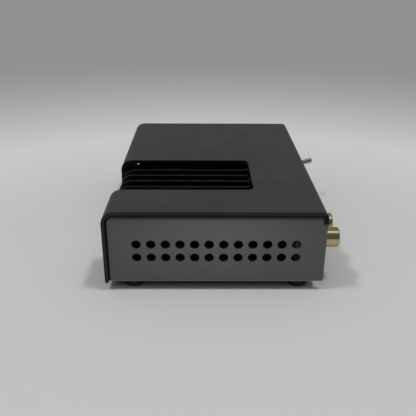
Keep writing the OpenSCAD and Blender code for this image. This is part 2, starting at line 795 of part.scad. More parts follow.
// Bat lever: ball, short tail and an arm that widens to a round tip
module switch_lever() {
    tip_r = lever_tip_d / 2;
    neck_r = lever_neck_d / 2;
    ball_r = ball_d / 2;
    tail = ball_r + 0.6;
    color("#c4c1b8") translate([switch_x, pivot_y, rca_z]) rotate([lever_tilt - 90, 0, 0]) {
        sphere(ball_r);
        translate([0, 0, -tail]) cylinder(h = tail, r = neck_r);
        rotate_extrude() polygon([[0, 0], [neck_r, 0], [neck_r, ball_r + 0.3],
            [tip_r, lever_len], [0, lever_len]]);
        translate([0, 0, lever_len]) sphere(tip_r);
    }
}

// Inlet moulding with a round snout that fills its hole in the back wall
module inlet_body() {
    half = inlet_w / 2;
    color("#1a1a1c") difference() {
        union() {
            along_y(wall_in_y - inlet_len, wall_in_y)
                soft_rect([inlet_x - half, board_top], [inlet_x + half, inlet_z + half],
                    [0.3, 0.3, 1.5, 1.5]);
            bar_y(inlet_x, wall_in_y - e, wall_y, inlet_z, inlet_snout_d);
        }
        bar_y(inlet_x, wall_y - inlet_depth, wall_y + e, inlet_z, inlet_bore_d);
    }
}

module inlet_pin() {
    color("#b8b6b0") translate([inlet_x, wall_y - inlet_depth, inlet_z]) rotate([-90, 0, 0]) {
        cylinder(h = inlet_depth - 1 - inlet_pin_d / 2, d = inlet_pin_d);
        translate([0, 0, inlet_depth - 1 - inlet_pin_d / 2]) sphere(d = inlet_pin_d);
    }
}

// Place of window i, counted from the front wall; one lies under each contact
function window_y(i) = front_in_y + jack_window_first + i * jack_window_pitch;

module jack_body() {
    top = axis_z + jack_height;
    color("#1c1c1e") difference() {
        along_y(front_in_y, front_in_y + jack_len)
            soft_rect([jack_x - jack_w / 2, board_top], [jack_x + jack_w / 2, top],
                [0.3, 0.3, 1.2, 1.2]);
        bar_y(jack_x, front_in_y - e, front_in_y + jack_depth, axis_z, jack_bore_d);
        for (i = [0 : 2]) translate([jack_x - jack_window_w / 2, window_y(i), axis_z])
            cube([jack_window_w, jack_window_len, jack_height + e]);
    }
}

// Threaded sleeve from the body's face out to the nut's face
module jack_sleeve() {
    color("#b8b6b0") tube_y(jack_x, front_y - jack_nut_t, front_in_y, axis_z,
        jack_sleeve_d, jack_bore_d);
}

module jack_nut() {
    color("#b8b6b0") nut_y(jack_x, front_y - jack_nut_t, front_y, axis_z,
        jack_nut_w, jack_sleeve_d);
}

// Spring leaf: two feet on the socket's roof and a dip that reaches to the edge of the plug hole
module jack_contact(window) {
    roof = axis_z + jack_height;
    low = axis_z + jack_bore_d / 2 + 0.1;
    t = 0.3;
    half = jack_window_w / 2 - 0.6;
    rear = jack_window_len;
    ys = [-1, 0.3, rear / 2 - 0.6, rear / 2 + 0.6, rear - 0.3, rear + 0.8];
    zs = [roof, roof, low, low, roof, roof];
    lower = [for (i = [0 : 5]) [window_y(window) + ys[i], zs[i]]];
    upper = [for (i = [5 : -1 : 0]) [window_y(window) + ys[i], zs[i] + t]];
    color("#c9b26a") along_x(jack_x - half, jack_x + half) polygon(concat(lower, upper));
}

module jack_sleeve_contact() { jack_contact(0); }
module jack_ring_contact() { jack_contact(1); }
module jack_tip_contact() { jack_contact(2); }

// Low potentiometer that the wheel's spindle turns in
module volume_pot() {
    half = pot_w / 2;
    color("#2a3a4a") difference() {
        along_z(board_top, board_top + pot_h) translate([wheel_x, wheel_y])
            soft_rect([-half, -half], [half, half], [0.8, 0.8, 0.8, 0.8]);
        translate([wheel_x, wheel_y, board_top + 0.4])
            cylinder(h = pot_h + e, d = spindle_d + 2 * spindle_play);
    }
}

// Spindle with the shoulder that the wheel sits on
module volume_spindle() {
    low = board_top + 0.5;
    screw_z = wheel_z + wheel_t - 1;
    color("#b5a36e") translate([wheel_x, wheel_y, 0]) difference() {
        union() {
            translate([0, 0, low]) cylinder(h = screw_z - low, d = spindle_d);
            translate([0, 0, wheel_z - shoulder_h]) cylinder(h = shoulder_h, d = spindle_d + 2.2);
        }
        translate([0, 0, screw_z - 2.2]) cylinder(h = 2.2 + e, d = 1.7);
    }
}

// Thumb wheel with a grooved rim, bevelled edges and a sunk hub
module volume_wheel() {
    r = wheel_d / 2;
    bevel = 0.4;
    color("#1f1f20") translate([wheel_x, wheel_y, wheel_z]) difference() {
        rotate_extrude() polygon([[spindle_d / 2 + 0.05, 0], [r - bevel, 0], [r, bevel],
            [r, wheel_t - bevel], [r - bevel, wheel_t], [spindle_d / 2 + 3, wheel_t],
            [spindle_d / 2 + 3, wheel_t - 1], [spindle_d / 2 + 0.05, wheel_t - 1]]);
        for (i = [0 : groove_count - 1]) rotate(i * 360 / groove_count)
            translate([r + groove_d * 0.15, 0, -e]) cylinder(h = wheel_t + 2 * e, d = groove_d, $fn = 16);
    }
}

module wheel_screw() {
    z = wheel_z + wheel_t - 1;
    color("#8d8f92") translate([wheel_x, wheel_y, z]) difference() {
        union() {
            cylinder(h = 0.8, d = spindle_d + 1.4);
            translate([0, 0, -2]) cylinder(h = 2.1, d = 1.6);
        }
        translate([0, 0, 0.8]) cube([spindle_d, 0.6, 0.8], center = true);
    }
}

// Lens in the front wall, its collar behind the wall and two legs down to the board
module power_light() {
    collar = 1;
    rear = front_in_y + light_len;
    leg = 0.5;
    color("#e9ebe6") {
        bar_y(light_x, front_y, rear, axis_z, light_d);
        bar_y(light_x, front_in_y, front_in_y + collar, axis_z, light_d + 0.9);
        for (s = [-1, 1]) translate([light_x + s * 0.9 - leg / 2, rear - leg, board_top])
            cube([leg, leg, axis_z - board_top]);
    }
}

// Can with a rolled groove near its foot
module filter_capacitor(i, j) {
    r = cap_d / 2;
    color("#202124") translate([cap_xs[i], cap_ys[j], board_top]) rotate_extrude()
        polygon([[0, 0], [r, 0], [r, 1.8], [r - 0.4, 2.2], [r - 0.4, 2.8], [r, 3.2],
            [r, cap_h - 0.5], [r - 0.5, cap_h], [0, cap_h]]);
}

module filter_capacitor_1() { filter_capacitor(0, 0); }
module filter_capacitor_2() { filter_capacitor(0, 1); }
module filter_capacitor_3() { filter_capacitor(1, 0); }
module filter_capacitor_4() { filter_capacitor(1, 1); }

module bridge_rectifier() {
    x = cap_right_x - cap_pitch / 2;
    y = cap_ys[1] + cap_d / 2 + bridge_gap;
    color("#18181a") translate([x - bridge_w / 2, y, board_top])
        cube([bridge_w, bridge_len, bridge_h]);
}

// Upright regulator: three legs, moulded body and the metal tab behind it
module regulator(x) {
    y = sink_rear_y + regulator_gap;
    z = board_top + regulator_leg;
    hole_z = z + regulator_h + regulator_tab_h / 2;
    color("#222224") difference() {
        union() {
            translate([x - regulator_w / 2, y, z]) cube([regulator_w, regulator_t, regulator_h]);
            translate([x - regulator_w / 2, y + regulator_t - regulator_tab_t, z])
                cube([regulator_w, regulator_tab_t, regulator_h + regulator_tab_h]);
            for (i = [-1 : 1]) translate([x + i * 2.54 - 0.4, y + 1.6, board_top])
                cube([0.8, 0.5, regulator_leg + e]);
        }
        bar_y(x, y - e, y + regulator_t + e, hole_z, 3.6);
    }
}

module regulator_positive() { regulator(-regulator_x - regulator_pitch / 2); }
module regulator_negative() { regulator(-regulator_x + regulator_pitch / 2); }

// Relay that keeps the headphones silent while the supply settles
module muting_relay() {
    y0 = front_in_y + jack_len + relay_gap;
    color("#26282c") along_z(board_top, board_top + relay_h)
        soft_rect([jack_x - relay_w / 2, y0], [jack_x + relay_w / 2, y0 + relay_len],
            [0.6, 0.6, 0.6, 0.6]);
}

top_cover();
chassis_tray();
cover_pillars();
cover_screws();
foot_front_left();
foot_front_right();
foot_rear_left();
foot_rear_right();
circuit_board();
board_standoffs();
board_screws();
heat_sink();
sink_screws();
output_chip_left();
output_chip_right();
thermal_pads();
rca_body();
rca_shell_left();
rca_shell_right();
rca_insulator_left();
rca_insulator_right();
rca_contact_left();
rca_contact_right();
switch_body();
switch_bushing();
switch_nut();
switch_lever();
inlet_body();
inlet_pin();
jack_body();
jack_sleeve();
jack_nut();
jack_tip_contact();
jack_ring_contact();
jack_sleeve_contact();
volume_pot();
volume_spindle();
volume_wheel();
wheel_screw();
power_light();
filter_capacitor_1();
filter_capacitor_2();
filter_capacitor_3();
filter_capacitor_4();
bridge_rectifier();
regulator_positive();
regulator_negative();
muting_relay();
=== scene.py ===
# Small desktop headphone amplifier: folded sheet-metal case, bare heat sink fins, gold phono sockets.
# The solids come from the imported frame. This script gives them their finishes, adds the parts
# that are too fine for the frame, and sets up the studio. Sizes are in millimetres unless said.
import math
import random

import bmesh
import bpy
from mathutils import Matrix, Vector


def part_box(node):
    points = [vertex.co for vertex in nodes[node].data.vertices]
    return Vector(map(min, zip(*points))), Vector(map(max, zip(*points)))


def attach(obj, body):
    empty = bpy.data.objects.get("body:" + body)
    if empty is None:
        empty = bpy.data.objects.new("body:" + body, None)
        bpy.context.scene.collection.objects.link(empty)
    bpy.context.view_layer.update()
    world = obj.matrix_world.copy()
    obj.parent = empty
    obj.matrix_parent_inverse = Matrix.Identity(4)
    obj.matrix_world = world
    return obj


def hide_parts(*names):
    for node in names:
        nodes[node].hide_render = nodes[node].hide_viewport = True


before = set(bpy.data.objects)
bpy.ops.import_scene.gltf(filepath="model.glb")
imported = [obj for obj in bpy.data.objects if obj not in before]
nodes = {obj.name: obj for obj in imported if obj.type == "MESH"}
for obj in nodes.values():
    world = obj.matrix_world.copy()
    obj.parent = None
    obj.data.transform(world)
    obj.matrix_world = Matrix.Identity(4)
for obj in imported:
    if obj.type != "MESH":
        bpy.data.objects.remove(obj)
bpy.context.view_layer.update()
scene = bpy.context.scene
mm = 0.001
print("frame loaded:", len(nodes), "nodes")

# Camera, floor and lamps

camera = {
    "place": (259.52, -8.826, 124.75),
    "yaw": 0.517,  # degrees, all three
    "pitch": 24.085,
    "roll": 0.3075,
    "lens": 48.404,  # on a 36 mm sensor
}

studio = {
    "floorRadius": 3000,
    "paper": "#bebfbd",
    "farPaperPaintedLight": "#cdcecb",  # painted pool of light: the paper is painted paler further out, between these two distances
    "paintedLightFrom": 130,
    "paintedLightTo": 280,
    "scuff": "#a9aaa8",
    "scuffStrength": 0.45,
    "scuffScale": 24.0,
    "scuffLine": (0.0012, 0.0045),  # how near its middle value the noise is along a scuff
    "scuffPatch": (0.6, 0.72),
    "patchScale": 33.0,
    "fibreScale": 700.0,
    "backdrop": "#919190",
    "fadeCentre": (100, 0, 0),  # around here the floor fades into the backdrop
    "fadeFrom": 256,
    "fadeTo": 645,
    "dimSide": "#5f6564",  # what shiny parts see of the room on the +X side
    "dimFrom": 0.1,
    "dimTo": 0.8,
    "overhead": "#f3fffc",  # bright panel that they mirror, the way to its middle, and its edge as cosines
    "overheadWay": (0.1, 0.0, 0.995),
    "overheadEdge": (0.94, 0.985),
    "overheadLevel": 1.8,
    # place, length, width and watts of the two lamps overhead; they run along the case
    "lamps": {
        "left_lamp": ((150, -430, 1000), 170, 100, 3.2),
        "right_lamp": ((150, 270, 1000), 170, 100, 3.6),
    },
    "skyLow": 0.02,  # the room's own light, by the height that it comes from
    "skyHigh": 0.71,
    "skyFrom": 0.12,
}


def toLinear(hexCode):
    values = [int(hexCode[i:i + 2], 16) / 255 for i in (1, 3, 5)]
    return tuple(v / 12.92 if v <= 0.04045 else ((v + 0.055) / 1.055) ** 2.4 for v in values) + (1.0,)


# One node with its settings, its fixed inputs and its links
def addNode(tree, kind, settings=None, inputs=None, links=None):
    node = tree.nodes.new("ShaderNode" + kind)
    for key, value in (settings or {}).items():
        setattr(node, key, value)
    for key, value in (inputs or {}).items():
        node.inputs[key].default_value = value
    for key, source in (links or {}).items():
        tree.links.new(source, node.inputs[key])
    return node


# All masks multiplied together
def product(tree, masks):
    whole = masks[0]
    for mask in masks[1:]:
        whole = addNode(tree, "Math", {"operation": "MULTIPLY"}, {},
                        {0: whole.outputs[0], 1: mask.outputs[0]})
    return whole


def makeCamera(view):
    yaw, pitch, roll = (math.radians(view[key]) for key in ("yaw", "pitch", "roll"))
    ahead = Vector((-math.cos(yaw) * math.cos(pitch), math.sin(yaw) * math.cos(pitch), -math.sin(pitch)))
    right = ahead.cross(Vector((0, 0, 1))).normalized()
    up = right.cross(ahead)
    side = right * math.cos(roll) + up * math.sin(roll)
    top = up * math.cos(roll) - right * math.sin(roll)
    data = bpy.data.cameras.new("camera")
    data.lens = view["lens"]
    data.sensor_width = 36
    data.clip_start = 0.01
    data.clip_end = 20
    eye = bpy.data.objects.new("camera", data)
    turn = Matrix((side, top, -ahead)).transposed().to_4x4()
    eye.matrix_world = Matrix.Translation(Vector(view["place"]) * mm) @ turn
    scene.collection.objects.link(eye)
    scene.camera = eye


# 1 for rays that come from the camera, off a shiny surface or through a clear one, 0 for the others
def directlySeen(tree):
    rays = addNode(tree, "LightPath")
    seen = addNode(tree, "Math", {"operation": "MAXIMUM"}, {},
                   {0: rays.outputs["Is Camera Ray"], 1: rays.outputs["Is Glossy Ray"]})
    seen = addNode(tree, "Math", {"operation": "MAXIMUM"}, {},
                   {0: seen.outputs[0], 1: rays.outputs["Is Transmission Ray"]})
    return rays, seen


# Paper floor that fades into an evenly lit backdrop, without a line between them
def makeFloor(look):
    bm = bmesh.new()
    bmesh.ops.create_circle(bm, cap_ends=True, segments=128, radius=look["floorRadius"] * mm)
    mesh = bpy.data.meshes.new("floor")
    bm.to_mesh(mesh)
    bm.free()
    floor = bpy.data.objects.new("floor", mesh)
    scene.collection.objects.link(floor)

    material = bpy.data.materials.new("matt_paper_sweep")
    material.use_nodes = True
    tree = material.node_tree
    tree.nodes.clear()
    place = addNode(tree, "TexCoord").outputs["Object"]
    centre = Vector(look["fadeCentre"]) * mm
    away = addNode(tree, "VectorMath", {"operation": "DISTANCE"}, {1: centre}, {0: place})
    near = addNode(tree, "MapRange", {},
                   {"From Min": look["fadeFrom"] * mm, "From Max": look["fadeTo"] * mm,
                    "To Min": 1.0, "To Max": 0.0}, {"Value": away.outputs["Value"]})
    kept = addNode(tree, "Math", {"operation": "POWER"}, {1: 2.0}, {0: near.outputs[0]})
    fade = addNode(tree, "Math", {"operation": "SUBTRACT"}, {0: 1.0}, {1: kept.outputs[0]})
    # painted pool of light: the paper's colour turns paler further from the case
    paintedLightMask = addNode(tree, "MapRange", {"interpolation_type": "SMOOTHSTEP"},
                    {"From Min": look["paintedLightFrom"] * mm, "From Max": look["paintedLightTo"] * mm},
                    {"Value": away.outputs["Value"]})
    tone = addNode(tree, "Mix", {"data_type": "RGBA"},
                   {6: toLinear(look["paper"]), 7: toLinear(look["farPaperPaintedLight"])}, {0: paintedLightMask.outputs[0]})

    # faint hair-thin scuffs: where a slow noise crosses its middle value, in a few patches only
    bend = addNode(tree, "TexNoise", {}, {"Scale": look["scuffScale"], "Detail": 1.0}, {"Vector": place})
    offMiddle = addNode(tree, "Math", {"operation": "SUBTRACT"}, {1: 0.5}, {0: bend.outputs[0]})
    depth = addNode(tree, "Math", {"operation": "ABSOLUTE"}, {}, {0: offMiddle.outputs[0]})
    line = addNode(tree, "MapRange", {},
                   {"From Min": look["scuffLine"][0], "From Max": look["scuffLine"][1],
                    "To Min": 1.0, "To Max": 0.0}, {"Value": depth.outputs[0]})
    patch = addNode(tree, "TexNoise", {}, {"Scale": look["patchScale"], "Detail": 2.0}, {"Vector": place})
    sparse = addNode(tree, "MapRange", {},
                     {"From Min": look["scuffPatch"][0], "From Max": look["scuffPatch"][1],
                      "To Max": look["scuffStrength"]}, {"Value": patch.outputs[0]})
    mark = product(tree, [line, sparse])
    colour = addNode(tree, "Mix", {"data_type": "RGBA"}, {7: toLinear(look["scuff"])},
                     {0: mark.outputs[0], 6: tone.outputs[2]})
    fibre = addNode(tree, "TexNoise", {}, {"Scale": look["fibreScale"], "Detail": 3.0}, {"Vector": place})
    bump = addNode(tree, "Bump", {}, {"Strength": 0.3, "Distance": 0.1 * mm}, {"Height": fibre.outputs[0]})
    paper = addNode(tree, "BsdfPrincipled", {}, {"Roughness": 0.85, "Specular IOR Level": 0.2},
                    {"Base Color": colour.outputs[2], "Normal": bump.outputs[0]})
    lit = addNode(tree, "Emission", {}, {"Color": toLinear(look["backdrop"]), "Strength": 1.0})
    share = product(tree, [fade, directlySeen(tree)[1]])
    mix = addNode(tree, "MixShader", {}, {}, {0: share.outputs[0], 1: paper.outputs[0], 2: lit.outputs[0]})
    addNode(tree, "OutputMaterial", {}, {}, {"Surface": mix.outputs[0]})
    mesh.materials.append(material)


def makeLamps(look):
    for name, (place, long, wide, power) in look["lamps"].items():
        data = bpy.data.lights.new(name, "AREA")
        data.shape = "RECTANGLE"
        data.size = long * mm
        data.size_y = wide * mm
        data.energy = power
        lamp = bpy.data.objects.new(name, data)
        lamp.location = Vector(place) * mm
        aim = Vector((0, -lamp.location.y, -lamp.location.z))  # square to the case, which it passes by
        lamp.rotation_euler = aim.to_track_quat("-Z", "Y").to_euler()
        lamp.visible_glossy = False
        scene.collection.objects.link(lamp)


# The room lights mostly from above. Shiny parts see its backdrop, a dim side and the bright panel
def makeRoom(look):
    world = bpy.data.worlds.new("studio_room")
    world.use_nodes = True
    tree = world.node_tree
    tree.nodes.clear()
    rays, seen = directlySeen(tree)
    direction = addNode(tree, "TexCoord").outputs["Generated"]
    ahead = addNode(tree, "SeparateXYZ", {}, {}, {0: direction})
    level = addNode(tree, "MapRange", {"interpolation_type": "SMOOTHSTEP"},
                    {"From Min": look["skyFrom"], "To Min": look["skyLow"], "To Max": look["skyHigh"]},
                    {"Value": ahead.outputs["Z"]})
    fill = addNode(tree, "Background", {}, {"Color": (1, 1, 1, 1)}, {"Strength": level.outputs[0]})
    turnedAway = addNode(tree, "MapRange", {"interpolation_type": "SMOOTHSTEP"},
                         {"From Min": look["dimFrom"], "From Max": look["dimTo"]},
                         {"Value": ahead.outputs["X"]})
    dim = addNode(tree, "Math", {"operation": "MULTIPLY"}, {},
                  {0: turnedAway.outputs[0], 1: rays.outputs["Is Glossy Ray"]})
    tone = addNode(tree, "Mix", {"data_type": "RGBA"},
                   {6: toLinear(look["backdrop"]), 7: toLinear(look["dimSide"])}, {0: dim.outputs[0]})
    towards = addNode(tree, "VectorMath", {"operation": "DOT_PRODUCT"}, {1: look["overheadWay"]},
                      {0: direction})
    edge = look["overheadEdge"]
    overhead = addNode(tree, "MapRange", {"interpolation_type": "SMOOTHSTEP"},
                       {"From Min": edge[0], "From Max": edge[1]}, {"Value": towards.outputs["Value"]})
    bright = [value * look["overheadLevel"] for value in toLinear(look["overhead"])]
    tone = addNode(tree, "Mix", {"data_type": "RGBA"}, {7: bright},
                   {0: overhead.outputs[0], 6: tone.outputs[2]})
    shown = addNode(tree, "Background", {}, {"Strength": 1.0}, {"Color": tone.outputs[2]})
    mix = addNode(tree, "MixShader", {}, {}, {0: seen.outputs[0], 1: fill.outputs[0], 2: shown.outputs[0]})
    addNode(tree, "OutputWorld", {}, {}, {"Surface": mix.outputs[0]})
    scene.world = world


scene.view_settings.view_transform = "Standard"
makeCamera(camera)
makeFloor(studio)
makeLamps(studio)
makeRoom(studio)
print("studio ready")

# Finishes


# A surface with drifting tone, uneven gloss, fine grain, and edges that are softened and rubbed
def makeFinish(name, look):
    material = bpy.data.materials.new(name)
    material.use_nodes = True
    tree = material.node_tree
    tree.nodes.clear()
    place = addNode(tree, "TexCoord").outputs["Object"]
    soft = addNode(tree, "Bevel", {"samples": 4}, {"Radius": look.get("softEdge", 0.15) * mm})

    drift = addNode(tree, "TexNoise", {}, {"Scale": 1000 / look["driftSize"], "Detail": 3.0},
                    {"Vector": place})
    tone = addNode(tree, "MapRange", {}, {"From Min": 0.35, "From Max": 0.65}, {"Value": drift.outputs[0]})
    colour = addNode(tree, "Mix", {"data_type": "RGBA"},
                     {6: toLinear(look["base"]), 7: toLinear(look["tint"])}, {0: tone.outputs[0]})

    flat = addNode(tree, "NewGeometry").outputs["Normal"]
    facing = addNode(tree, "VectorMath", {"operation": "DOT_PRODUCT"}, {}, {0: soft.outputs[0], 1: flat})
    rim = addNode(tree, "MapRange", {},
                  {"From Min": 0.99, "From Max": 0.8, "To Min": 0.0, "To Max": look.get("wear", 0.3)},
                  {"Value": facing.outputs["Value"]})
    patch = addNode(tree, "TexNoise", {}, {"Scale": 1000 / look["patchSize"], "Detail": 4.0},
                    {"Vector": place})
    uneven = addNode(tree, "MapRange", {}, {"From Min": 0.3, "From Max": 0.7}, {"Value": patch.outputs[0]})
    rubbed = product(tree, [rim, uneven])
    worn = addNode(tree, "Mix", {"data_type": "RGBA"}, {7: toLinear(look["edge"])},
                   {0: rubbed.outputs[0], 6: colour.outputs[2]})

    low, high = look["roughness"]
    rough = addNode(tree, "MapRange", {}, {"From Min": 0.3, "From Max": 0.7, "To Min": low, "To Max": high},
                    {"Value": patch.outputs[0]})
    drawn = addNode(tree, "Mapping", {}, {"Scale": look.get("stretch", (1, 1, 1))}, {"Vector": place})
    grain = addNode(tree, "TexNoise", {}, {"Scale": 1000 / look["grainSize"], "Detail": 2.0},
                    {"Vector": drawn.outputs[0]})
    bump = addNode(tree, "Bump", {}, {"Strength": 1.0, "Distance": look["grainDepth"] * mm},
                   {"Height": grain.outputs[0], "Normal": soft.outputs[0]})
    fixed = {"Metallic": look.get("metallic", 0.0), **look.get("extra", {})}
    shader = addNode(tree, "BsdfPrincipled", {}, fixed,
                     {"Base Color": worn.outputs[2], "Roughness": rough.outputs[0],
                      "Normal": bump.outputs[0]})
    addNode(tree, "OutputMaterial", {}, {}, {"Surface": shader.outputs[0]})
    return {"material": material, "tree": tree, "place": place, "colour": worn, "shader": shader}


# Mask that is 1 inside a box of the object's own coordinates; None leaves a side open
def insideBox(finish, low, high):
    tree = finish["tree"]
    parts = addNode(tree, "SeparateXYZ", {}, {}, {0: finish["place"]})
    tests = []
    for axis in range(3):
        for test, edge in (("GREATER_THAN", low[axis]), ("LESS_THAN", high[axis])):
            if edge is not None:
                tests.append(addNode(tree, "Math", {"operation": test}, {1: edge * mm},
                                     {0: parts.outputs[axis]}))
    return product(tree, tests)


# Mask that is 1 where the true surface faces a direction within a limit, given as a cosine
def facingWay(finish, way, limit=0.7, test="GREATER_THAN"):
    tree = finish["tree"]
    normal = addNode(tree, "NewGeometry").outputs["True Normal"]
    along = addNode(tree, "VectorMath", {"operation": "DOT_PRODUCT"}, {1: way}, {0: normal})
    return addNode(tree, "Math", {"operation": test}, {1: limit}, {0: along.outputs["Value"]})


# Mask that grows from 0 to its strength between two heights
def risingOver(finish, start, end, strength):
    tree = finish["tree"]
    parts = addNode(tree, "SeparateXYZ", {}, {}, {0: finish["place"]})
    return addNode(tree, "MapRange", {}, {"From Min": start * mm, "From Max": end * mm, "To Max": strength},
                   {0: parts.outputs["Z"]})


# Mask that grows from 0 to 1 with the distance from a place, each axis at its own scale. One-sided, it
# counts only the way that the scale points, so it follows a rounded corner and the edges beside it
def awayFrom(finish, centre, scale, start, end, oneSided=False):
    tree = finish["tree"]
    offset = addNode(tree, "VectorMath", {"operation": "SUBTRACT"}, {1: Vector(centre) * mm},
                     {0: finish["place"]})
    scaled = addNode(tree, "VectorMath", {"operation": "MULTIPLY"}, {1: Vector(scale) / mm},
                     {0: offset.outputs[0]})
    if oneSided:
        scaled = addNode(tree, "VectorMath", {"operation": "MAXIMUM"}, {1: (0, 0, 0)},
                         {0: scaled.outputs[0]})
    reach = addNode(tree, "VectorMath", {"operation": "LENGTH"}, {}, {0: scaled.outputs[0]})
    return addNode(tree, "MapRange", {}, {"From Min": start, "From Max": end}, {0: reach.outputs["Value"]})


# Lays another colour over a finish where all its masks are above 0, as metal if asked
def overlay(finish, colour, *masks, metal=False):
    tree = finish["tree"]
    mask = product(tree, masks)
    over = addNode(tree, "Mix", {"data_type": "RGBA"}, {7: toLinear(colour)},
                   {0: mask.outputs[0], 6: finish["colour"].outputs[2]})
    tree.links.new(over.outputs[2], finish["shader"].inputs["Base Color"])
    finish["colour"] = over
    if metal:
        bare = finish.get("metal")
        if bare:
            mask = addNode(tree, "Math", {"operation": "MAXIMUM"}, {},
                           {0: bare.outputs[0], 1: mask.outputs[0]})
        tree.links.new(mask.outputs[0], finish["shader"].inputs["Metallic"])
        finish["metal"] = mask


def finishNodes(finish, *names):
    for name in names:
        for slot in nodes[name].material_slots:
            slot.material = finish["material"]


# Sheet steel with a matt black powder coat, near black in itself: its faint orange peel catches the pale room
# at a low angle, and its base is painted dark grey as painted sheen, so the top reads as dark grey
coverCoat = makeFinish("powder_coated_steel_black", {
    "base": "#2f302f", "tint": "#333433", "edge": "#424341",
    "driftSize": 26, "patchSize": 9, "grainSize": 0.55, "grainDepth": 0.006,
    "roughness": (0.44, 0.52), "softEdge": 0.25, "wear": 0.3,
    "extra": {"Specular IOR Level": 0.2},
})
finishNodes(coverCoat, "top_cover")
# the cut edges keep the coat's near black, without the top's painted sheen; a painted highlight runs
# as a paler line along the middle of the two long ones at the sides
frontBend = (0, -43.65, 30.0)  # the cover and the tray both turn round this line
cutEdge = {"dark": "#070807", "paintedHighlight": "#323332", "paintedLightFrom": 3.9, "paintedLightTo": 4.9, "fade": 0.3, "outside": 60}
look = cutEdge
for way, low, high in ((1, look["outside"], None), (-1, None, -look["outside"])):
    edge = facingWay(coverCoat, (way, 0, 0))
    overlay(coverCoat, look["dark"], edge)
    inner = awayFrom(coverCoat, frontBend, (0, -1, 1), look["paintedLightFrom"], look["paintedLightFrom"] + look["fade"],
                     oneSided=True)
    outer = awayFrom(coverCoat, frontBend, (0, -1, 1), look["paintedLightTo"], look["paintedLightTo"] - look["fade"],
                     oneSided=True)
    # painted highlight: the paler line along the middle of the long side edges
    overlay(coverCoat, look["paintedHighlight"], edge, insideBox(coverCoat, (low, None, None), (high, None, None)),
            inner, outer)

# Sheet steel with a satin grey stoved paint: an even mid grey, a little glossier than the cover
trayCoat = makeFinish("stoved_paint_steel_grey", {
    "base": "#777976", "tint": "#7c7e7b", "edge": "#949692",
    "driftSize": 30, "patchSize": 7, "grainSize": 0.5, "grainDepth": 0.004,
    "roughness": (0.4, 0.5), "softEdge": 0.2, "wear": 0.4,
    "extra": {"Specular IOR Level": 0.2},
})
finishNodes(trayCoat, "chassis_tray")
trayPaintedShadeAndHighlight = {
    "ventShade": "#040404", "ventShadeLow": (None, -38, 12), "ventShadeHigh": (None, 32, 24),
    "ventShadeLimit": 0.5,
    "outer": "#646663", "paintedLightSpot": (0, -5, 31), "paintedShadeScale": (0, 1 / 43, 1 / 27), "paintedShadeTo": 1.1,
    "underside": "#101110", "bend": "#a4a6a2", "bendHighlightTop": 4.3,
    "overhangShadow": "#0c0c0c", "overhangShadowFrom": 31.3, "overhangShadowTo": 32.9, "overhangShadowStrength": 0.95,
    "overhangShadowLow": (None, -46, 30), "overhangShadowHigh": (None, 41, None),
    "seam": "#050505", "seamFrom": 2.85, "seamTo": 3.05,
}
look = trayPaintedShadeAndHighlight
# painted shade: the punched walls of the vent holes are painted near black, and the sides are painted darker
# away from the middle of their top, where most light falls
overlay(trayCoat, look["ventShade"], insideBox(trayCoat, look["ventShadeLow"], look["ventShadeHigh"]),
        facingWay(trayCoat, (1, 0, 0), look["ventShadeLimit"], "LESS_THAN"),
        facingWay(trayCoat, (-1, 0, 0), look["ventShadeLimit"], "LESS_THAN"))
# painted shade: the side grows darker away from the lit middle of its top
overlay(trayCoat, look["outer"],
        awayFrom(trayCoat, look["paintedLightSpot"], look["paintedShadeScale"], 0.0, look["paintedShadeTo"]))
# painted shade: it is painted nearly black underneath, which keeps the floor under the case dark, and the
# bottom bend is painted pale as a highlight of the bright floor in front
overlay(trayCoat, look["underside"], facingWay(trayCoat, (0, 0, -1)))
# painted highlight: the bottom bend is painted pale, as if it caught the bright floor
overlay(trayCoat, look["bend"], insideBox(trayCoat, (None, None, None), (None, None, look["bendHighlightTop"])),
        facingWay(trayCoat, (0, 0, -1), test="LESS_THAN"))
# painted shadow: the side is painted darker towards its top edge, as the shadow of the cover's overhang,
# and the seam round the front bend is painted nearly black as shade
overlay(trayCoat, look["overhangShadow"],
        risingOver(trayCoat, look["overhangShadowFrom"], look["overhangShadowTo"], look["overhangShadowStrength"]),
        insideBox(trayCoat, look["overhangShadowLow"], look["overhangShadowHigh"]))
# painted shade: the tray's face inside the seam round the front bend is painted nearly black
overlay(trayCoat, look["seam"],
        awayFrom(trayCoat, frontBend, (0, -1, 1), look["seamFrom"], look["seamTo"], oneSided=True))

# Aluminium extrusion, black anodised: satin black with fine die lines along its length
sinkCoat = makeFinish("anodised_aluminium_extruded_black", {
    "base": "#050506", "tint": "#080809", "edge": "#48484a",
    "driftSize": 8, "patchSize": 5, "grainSize": 0.35, "grainDepth": 0.01, "stretch": (1, 0.03, 1),
    "roughness": (0.36, 0.5), "softEdge": 0.12, "wear": 0.45,
    "extra": {"Specular IOR Level": 0.25},
})
finishNodes(sinkCoat, "heat_sink")

# Steel with black oxide: dark, slightly brown and oily where tools have touched it
blackSteel = makeFinish("black_oxide_steel_turned", {
    "base": "#17171a", "tint": "#221f1e", "edge": "#58585a", "metallic": 0.6,
    "driftSize": 3, "patchSize": 2, "grainSize": 0.4, "grainDepth": 0.008, "stretch": (1, 1, 0.4),
    "roughness": (0.32, 0.48), "wear": 0.6,
})
finishNodes(blackSteel, "cover_pillars")

# Steel screws and stand-offs, bright zinc plated: cool grey with a cloudy passivated film
zincSteel = makeFinish("zinc_plated_steel", {
    "base": "#a9adb2", "tint": "#989da6", "edge": "#d6d8da", "metallic": 1.0,
    "driftSize": 1.6, "patchSize": 1.2, "grainSize": 0.3, "grainDepth": 0.006,
    "roughness": (0.24, 0.42), "wear": 0.6,
})
finishNodes(zincSteel, "cover_screws", "sink_screws", "wheel_screw")

